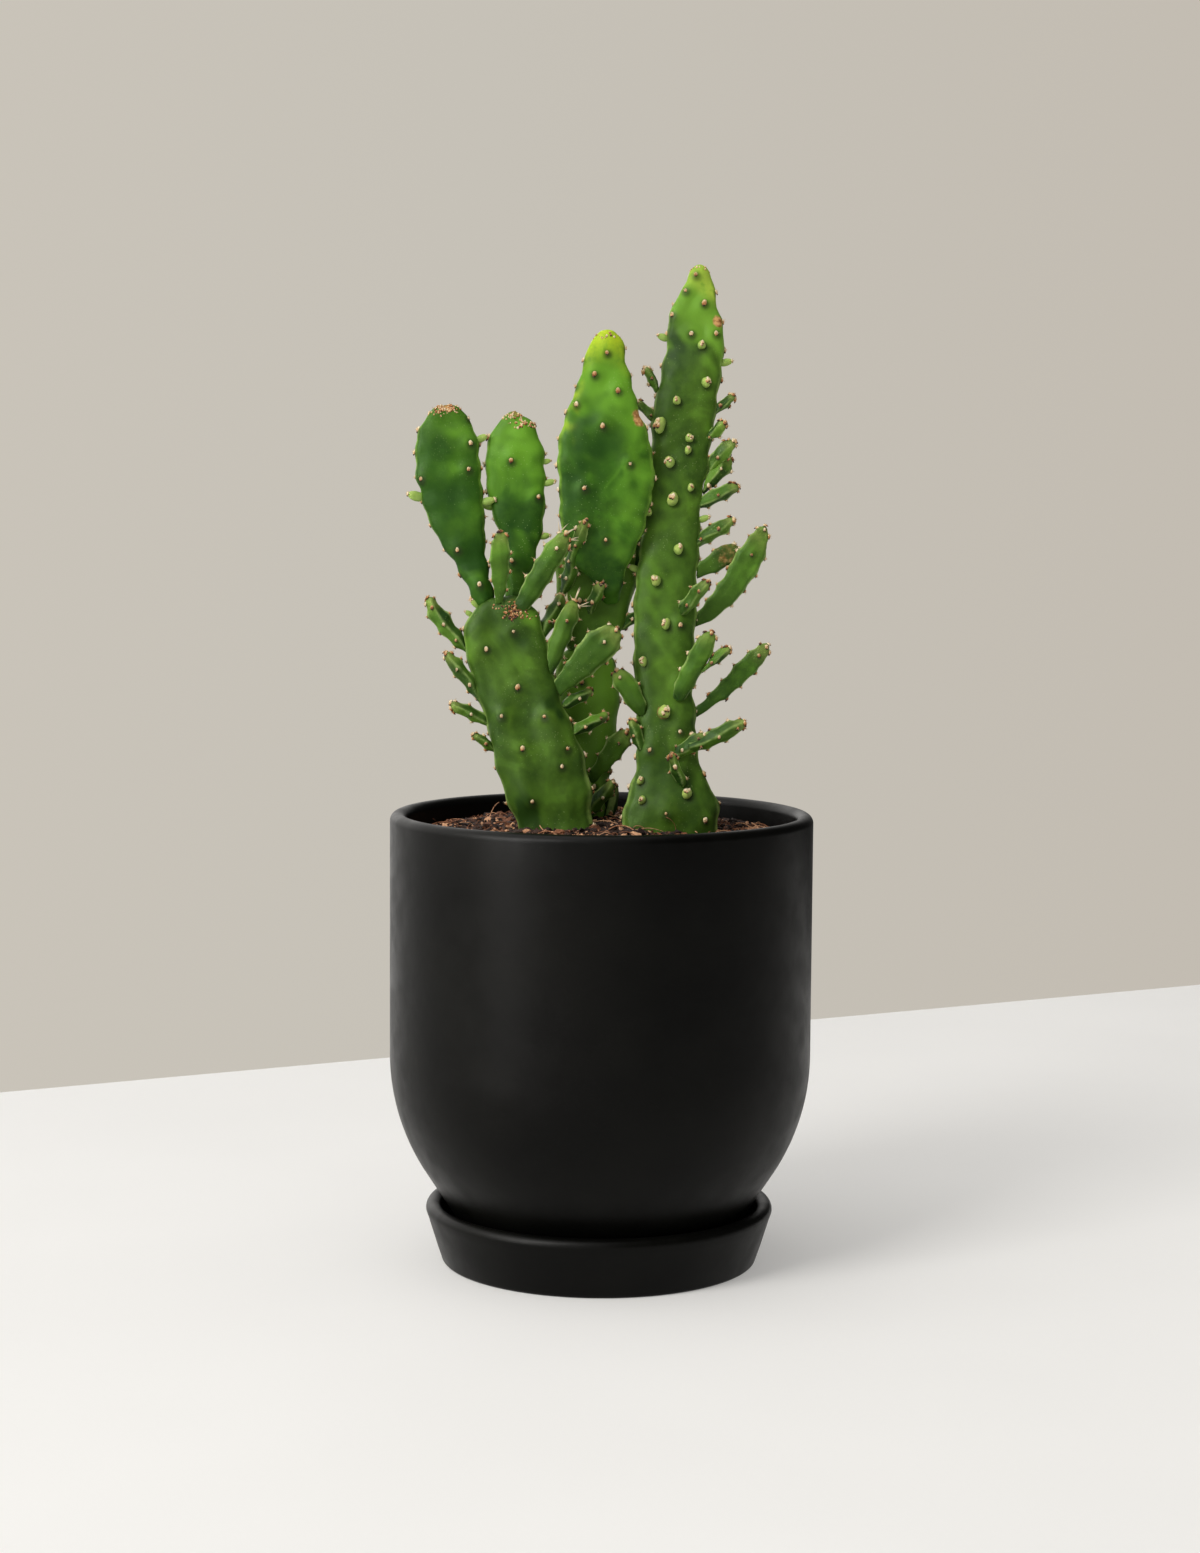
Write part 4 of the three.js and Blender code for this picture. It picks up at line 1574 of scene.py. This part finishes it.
@dataclass
class Studio:
    """A pale table before a warm wall, one soft key light, and the camera."""

    eye: Vector = field(default_factory=lambda: Vector((-0.0006, -0.900, 0.2366)))
    tilt: float = 0.0952
    roll: float = 0.007
    focal: float = 68.2
    sensor: float = 36.0
    table_edge: float = 0.371
    table_turn: float = 27.8
    table_thickness: float = 0.03
    lamps: Sequence[Lamp] = (
        Lamp("key", (-1.3, -1.45, 1.5), (0.9, 1.0), 35.0, (1.0, 0.985, 0.96)),
        Lamp("top", (-0.3, -0.2, 1.5), (1.2, 1.2), 6.0, (1.0, 0.99, 0.97)),
    )

    def table(self) -> None:
        """Builds the table top, whose far edge runs behind the pot."""
        mesh = bmesh.new()
        bmesh.ops.create_grid(mesh, x_segments=24, y_segments=24, size=1)
        bmesh.ops.scale(mesh, vec=(2.6, 1.6, 1), verts=mesh.verts)
        bmesh.ops.translate(mesh, vec=(0, -1.6, 0), verts=mesh.verts)
        side = bmesh.ops.extrude_face_region(mesh, geom=mesh.faces[:])["geom"]
        under = [item for item in side if isinstance(item, bmesh.types.BMVert)]
        bmesh.ops.translate(mesh, vec=(0, 0, -self.table_thickness), verts=under)
        turn = Matrix.Rotation(math.radians(self.table_turn), 3, "Z")
        bmesh.ops.rotate(mesh, matrix=turn, verts=mesh.verts)
        bmesh.ops.translate(mesh, vec=(0, self.table_edge, 0), verts=mesh.verts)
        bmesh.ops.recalc_face_normals(mesh, faces=mesh.faces)
        data = bpy.data.meshes.new("table")
        mesh.to_mesh(data)
        mesh.free()
        top = linked("table", data)
        graph = Graph("painted_table")
        colour = graph.mix(graph.fit(graph.noise(7, 2), 0.3, 0.7), tone(204, 203, 201), tone(207, 206, 204))
        graph.set(Base_Color=colour, Roughness=0.75, Specular_IOR_Level=0.2)
        graph.set(Emission_Color=(1.0, 0.985, 0.955, 1), Emission_Strength=0.28)
        graph.bump(graph.noise(900, 3), 0.05, 0.0002)
        data.materials.append(graph.material)

    def backdrop(self) -> None:
        """Sets the warm wall colour that fills the view, and the room that lights and reflects."""
        world = bpy.data.worlds.new("studio")
        bpy.context.scene.world = world
        world.use_nodes = True
        nodes, links = world.node_tree.nodes, world.node_tree.links
        nodes.clear()
        split = nodes.new("ShaderNodeSeparateXYZ")
        links.new(nodes.new("ShaderNodeTexCoord").outputs["Generated"], split.inputs[0])
        path = nodes.new("ShaderNodeLightPath")

        def span(axis: str, start: float, end: float, first: float, last: float) -> Socket:
            """A value that runs from `first` to `last` along one axis of the view direction."""
            node = nodes.new("ShaderNodeMapRange")
            links.new(split.outputs[axis], node.inputs["Value"])
            for name, value in (("From Min", start), ("From Max", end), ("To Min", first), ("To Max", last)):
                node.inputs[name].default_value = value
            return node.outputs["Result"]

        def product(first: Socket, second: Socket) -> Socket:
            """Two values multiplied."""
            node = nodes.new("ShaderNodeMath")
            node.operation = "MULTIPLY"
            links.new(first, node.inputs[0])
            links.new(second, node.inputs[1])
            return node.outputs[0]

        def choose(share: Socket, first: Shader, second: Shader) -> Shader:
            """The first shader where the share is 0 and the second where it is 1."""
            node = nodes.new("ShaderNodeMixShader")
            links.new(share, node.inputs["Fac"])
            links.new(first.outputs[0], node.inputs[1])
            links.new(second.outputs[0], node.inputs[2])
            return node

        wall, shine, fill = (nodes.new("ShaderNodeBackground") for _ in range(3))
        ramp = nodes.new("ShaderNodeValToRGB")
        links.new(span("X", -0.42, 0.42, 0, 1), ramp.inputs["Fac"])
        ramp.color_ramp.elements[0].color = tone(205, 198, 187)
        ramp.color_ramp.elements[1].color = tone(192, 184, 173)
        ramp.color_ramp.elements.new(0.45).color = tone(198, 193, 183)
        links.new(ramp.outputs["Color"], wall.inputs["Color"])
        sides = product(span("X", 0.4, -0.3, 0.02, 1.0), span("Y", -0.6, 0.2, 0.1, 1.1))
        window = nodes.new("ShaderNodeValToRGB")
        links.new(span("X", -1.0, 0.5, 0, 1), window.inputs["Fac"])
        levels = [(0.0, 1.0), (0.08, 3.5), (0.15, 20.0), (0.25, 1.2), (0.667, 0.9), (0.867, 0.0)]
        while len(window.color_ramp.elements) < len(levels):
            window.color_ramp.elements.new(0.5)
        for element, (place, level) in zip(window.color_ramp.elements, levels):
            element.position = place
            element.color = (level, level, level, 1)
        front = product(window.outputs["Color"], span("Y", 0.1, -0.4, 0.0, 1.0))
        both = nodes.new("ShaderNodeMath")
        links.new(product(sides, span("Z", 0.0, 0.15, 1.0, 1.8)), both.inputs[0])
        links.new(front, both.inputs[1])
        links.new(both.outputs[0], shine.inputs["Strength"])
        links.new(span("X", 0.9, -0.9, 0.37, 0.49), fill.inputs["Strength"])
        for shader in (shine, fill):
            shader.inputs["Color"].default_value = (0.9, 0.88, 0.85, 1)
        room = choose(path.outputs["Is Glossy Ray"], fill, shine)
        output = nodes.new("ShaderNodeOutputWorld")
        links.new(choose(path.outputs["Is Camera Ray"], room, wall).outputs[0], output.inputs["Surface"])

    def camera(self) -> None:
        """Stands the camera before the pot."""
        data = bpy.data.cameras.new("view")
        data.sensor_fit = "VERTICAL"
        data.sensor_height = self.sensor
        data.lens = self.focal
        view = linked("view", data)
        view.location = self.eye
        turn = Matrix.Rotation(math.pi / 2 - self.tilt, 4, "X") @ Matrix.Rotation(self.roll, 4, "Z")
        view.rotation_euler = turn.to_euler()
        bpy.context.scene.camera = view

    def build(self) -> None:
        """Builds the whole studio."""
        self.table()
        self.backdrop()
        for lamp in self.lamps:
            lamp.build(aim=Vector((0, 0, 0.14)))
        self.camera()
        bpy.context.scene.view_settings.view_transform = "Standard"


# ---- The plant's own numbers ---------------------------------------------------------------------

RIGHT_BUDS = {
    "right_stem": [
        (0.87, 0.18, 2.8), (0.81, 0.49, 3.4), (0.78, -0.28, 2.8), (0.74, -0.68, 4.6), (0.72, 0.19, 2.8),
        (0.70, 0.27, 2.6), (0.68, -0.28, 3.6), (0.64, 0.58, 2.6), (0.62, 0.02, 4.0), (0.60, -0.77, 2.8),
        (0.54, 0.28, 3.4), (0.49, -0.32, 3.6), (0.42, 0.04, 3.2), (0.36, -0.63, 3.0), (0.28, -0.11, 4.2),
        (0.17, -0.75, 2.6), (0.14, -0.66, 2.6), (0.15, 0.36, 3.4), (0.19, 0.13, 2.8),
        (0.88, Face.LEFT, 3.2), (0.84, Face.RIGHT, 3.6), (0.59, Face.RIGHT, 3.4), (0.51, Face.LEFT, 3.0),
    ],
}

TRUNK = Pad(
    "left_trunk",
    front=[
        (0.82, -0.48), (0.69, 0.03), (0.59, -0.58), (0.59, 0.40), (0.48, -0.34), (0.48, 0.67),
        (0.42, 0.47), (0.30, -0.35), (0.18, 0.3), (0.88, 0.25),
    ],
    slot=Slot.TRUNK,
    crusts=[(0.96, 0.3), (0.935, 0.38)],
    scales=46,
    scale_shade=0.66,
    spread=2.4 * MM,
    # Partly painted: darker patches stand for shade in the crease left of the middle and in notches and
    # creases on the right, and a lighter one for light along the left edge.
    patches=[
        (0.82, -0.97, 3.5, 0.6), (0.3, -0.5, 3.5, -1.0), (0.24, -0.6, 4, -1.3), (0.1, -0.7, 4.5, -1.2),
        (0.63, 0.8, 4, -0.9), (0.34, 0.8, 4, 0.25), (0.5, 0.1, 14, -0.2), (0.91, 0.68, 4.5, 0.5),
        (0.86, 0.4, 3, -0.9), (0.9, -0.2, 8, -0.3), (0.12, 0.3, 6, 0.15),
    ],
    furrows=0.6,
    seed=11,
)
OUTER_PADDLE = Pad(
    "left_outer_paddle",
    front=[(0.69, 0.67), (0.29, -0.36), (0.64, -0.84), (0.82, 0.77), (0.12, 0.1)],
    slot=Slot.PADDLE,
    dark_tone_and_painted_shade=0.6,
    fresh_from=0.5,
    fresh_to=1.7,
    pitch=8 * MM,
    crusts=[(0.985, 0.1), (0.98, -0.4)],
    scales=44,
    patches=[
        (0.85, 0.3, 5, 0.6), (0.80, -0.1, 4, -0.6), (0.68, 0.1, 4, 0.35), (0.55, 0.0, 6, -0.5),
        (0.42, 0.2, 6, 0.3), (0.24, 0.5, 6, -0.4),
    ],
    seed=12,
)
INNER_PADDLE = Pad(
    "left_inner_paddle",
    front=[(0.76, -0.14), (0.58, 0.77), (0.26, -0.50)],
    slot=Slot.PADDLE,
    fresh_from=0.4,
    fresh_to=1.25,
    dark_tone_and_painted_shade=0.3,
    pitch=8 * MM,
    crusts=[(0.985, 0.0), (0.94, 0.62)],
    scales=36,
    patches=[
        (0.85, 0.1, 7, 0.45), (0.71, 0.6, 5, 0.3), (0.44, -0.3, 8, -0.5), (0.32, 0.3, 7, -0.2),
        (0.12, 0.1, 9, 0.3),
    ],
    seed=13,
)
CENTRE_PADDLE = Pad(
    "centre_paddle",
    front=[
        (0.85, -0.42), (0.79, 0.48), (0.74, -0.81), (0.66, -0.05), (0.52, 0.51),
        (0.43, -0.45), (0.24, 0.10), (0.93, 0.09),
    ],
    slot=Slot.PADDLE,
    dark_tone_and_painted_shade=0.25,
    fresh_from=0.45,
    fresh_to=1.0,
    tip_from=0.84,
    gilded=0.7,
    pitch=8.5 * MM,
    scars=[(0.70, 0.93), (0.68, 0.88)],
    crusts=[(0.985, 0.0)],
    scales=12,
    # Partly painted: the darker patch at the foot stands for shade where the paddle meets the pad below.
    patches=[
        (0.78, 0.3, 7, 0.45), (0.68, -0.55, 6, -0.3), (0.56, -0.2, 8, -0.35), (0.44, -0.7, 7, -0.6),
        (0.56, 0.7, 6, 0.35), (0.44, 0.72, 7, 0.35), (0.32, 0.6, 6, 0.35), (0.2, 0.6, 5, 0.3),
        (0.1, 0.1, 5, -0.5), (0.68, 0.8, 4, 0.4),
    ],
    seed=14,
)
MIDDLE_PAD = Pad(
    "centre_middle_pad",
    front=[(0.7, 0.4), (0.45, -0.4), (0.2, 0.3)],
    slot=Slot.TRUNK,
    # Partly painted light: the fresh, lighter colour reaches low on this pad, lifting the shade that the
    # trunk casts on it.
    fresh_from=-0.6,
    fresh_to=2.2,
    furrows=0.2,
    seed=15,
)
LOWER_PAD = Pad(
    "centre_lower_pad",
    front=[(0.85, -0.2), (0.7, 0.5), (0.55, -0.3), (0.4, 0.45)],
    slot=Slot.TRUNK,
    # Partly painted light: the fresh, lighter colour covers nearly the whole pad, lifting the shade that the
    # trunk casts on it.
    fresh_from=-1.0,
    fresh_to=0.7,
    seed=16,
)
RIGHT_STEM = Pad(
    "right_stem",
    front=[
        (0.96, -0.70), (0.94, 0.33), (0.92, -0.9), (0.89, -0.11), (0.89, 0.78), (0.985, -0.3),
        (0.42, 0.5), (0.33, 0.5), (0.25, 0.45), (0.22, -0.6), (0.12, -0.1), (0.11, 0.7),
    ],
    slot=Slot.TRUNK,
    fresh_from=0.845,
    fresh_to=0.9,
    slant=0.035,
    tip_from=0.93,
    pitch=9.5 * MM,
    crusts=[(0.995, 0.0)],
    scales=10,
    scars=[(0.91, 0.82), (0.28, -0.11)],
    patches=[
        (0.86, -0.75, 8, -0.8), (0.84, 0.6, 6, 0.4), (0.93, 0.3, 4, 0.3), (0.19, -0.4, 6, -0.6),
        (0.06, 0.65, 7, -0.8), (0.05, -0.3, 6, 0.4), (0.36, 0.2, 9, 0.25), (0.5, -0.3, 10, 0.25),
        (0.43, 0.1, 8, 0.15), (0.62, -0.4, 9, 0.2),
    ],
    bud_shadow_spots=[(height, side) for height, side, _ in RIGHT_BUDS["right_stem"] if not isinstance(side, Face)],
    voxel=0.5 * MM,
    seed=17,
)
LEFT_BUDS = {
    "left_outer_paddle": [(0.54, Face.LEFT, 4.4), (0.84, Face.RIGHT, 3.2), (0.52, Face.RIGHT, 4.2)],
    "left_inner_paddle": [
        (0.52, Face.LEFT, 3.4), (0.64, Face.RIGHT, 3.4), (0.37, Face.RIGHT, 3.0), (0.75, Face.RIGHT, 2.4),
    ],
    "left_trunk": [(0.97, Face.LEFT, 3.0), (0.94, Face.LEFT, 2.4)],
}

FAN = ("right_stem_shoot_06", "right_stem_shoot_07", "right_stem_shoot_08")

STEMS = [
    Stem(
        "left",
        [TRUNK, OUTER_PADDLE, INNER_PADDLE],
        spiny=("left_trunk_shoot_02", "left_trunk_shoot_08"),
        buds=LEFT_BUDS,
        seed=3,
    ),
    Stem("centre", [LOWER_PAD, MIDDLE_PAD, CENTRE_PADDLE], seed=4),
    Stem("right", [RIGHT_STEM], dry=("right_stem_shoot_11",), pale=FAN, buds=RIGHT_BUDS, seed=5),
]


def main() -> None:
    """Builds the studio, the pot, the soil and the plant."""
    logging.basicConfig(level=logging.INFO, format="%(name)s %(message)s")
    Studio().build()
    pot = Pot()
    pot.build(Ceramic("pot_ceramic"))
    Saucer().build(Ceramic("saucer_ceramic"))
    Soil().build(pot)
    skins = {
        Slot.TRUNK: Skin(
            "trunk_skin",
            shaded=tone(34, 60, 14),
            deep=tone(56, 84, 22),
            body=tone(68, 98, 27),
            fresh=tone(106, 152, 46),
            margin=tone(150, 180, 92),
            tip=tone(160, 188, 66),
            mottle=0.45,
        ).material(),
        Slot.PADDLE: Skin(
            "paddle_skin",
            shaded=tone(30, 66, 10),
            deep=tone(44, 82, 14),
            body=tone(58, 104, 20),
            fresh=tone(100, 152, 40),
            margin=tone(140, 184, 72),
            tip=tone(176, 200, 40),
            margin_share=0.75,
            mottle=0.9,
        ).material(),
        Slot.SHOOT: Skin(
            "shoot_skin",
            shaded=tone(30, 58, 14),
            deep=tone(50, 84, 20),
            body=tone(68, 108, 30),
            fresh=tone(104, 146, 46),
            margin=tone(166, 192, 112),
            tip=tone(170, 188, 96),
        ).material(),
    }
    wool = Wool().material()
    for stem in STEMS:
        stem.build(skins, wool)


if __name__ == "__main__":
    main()
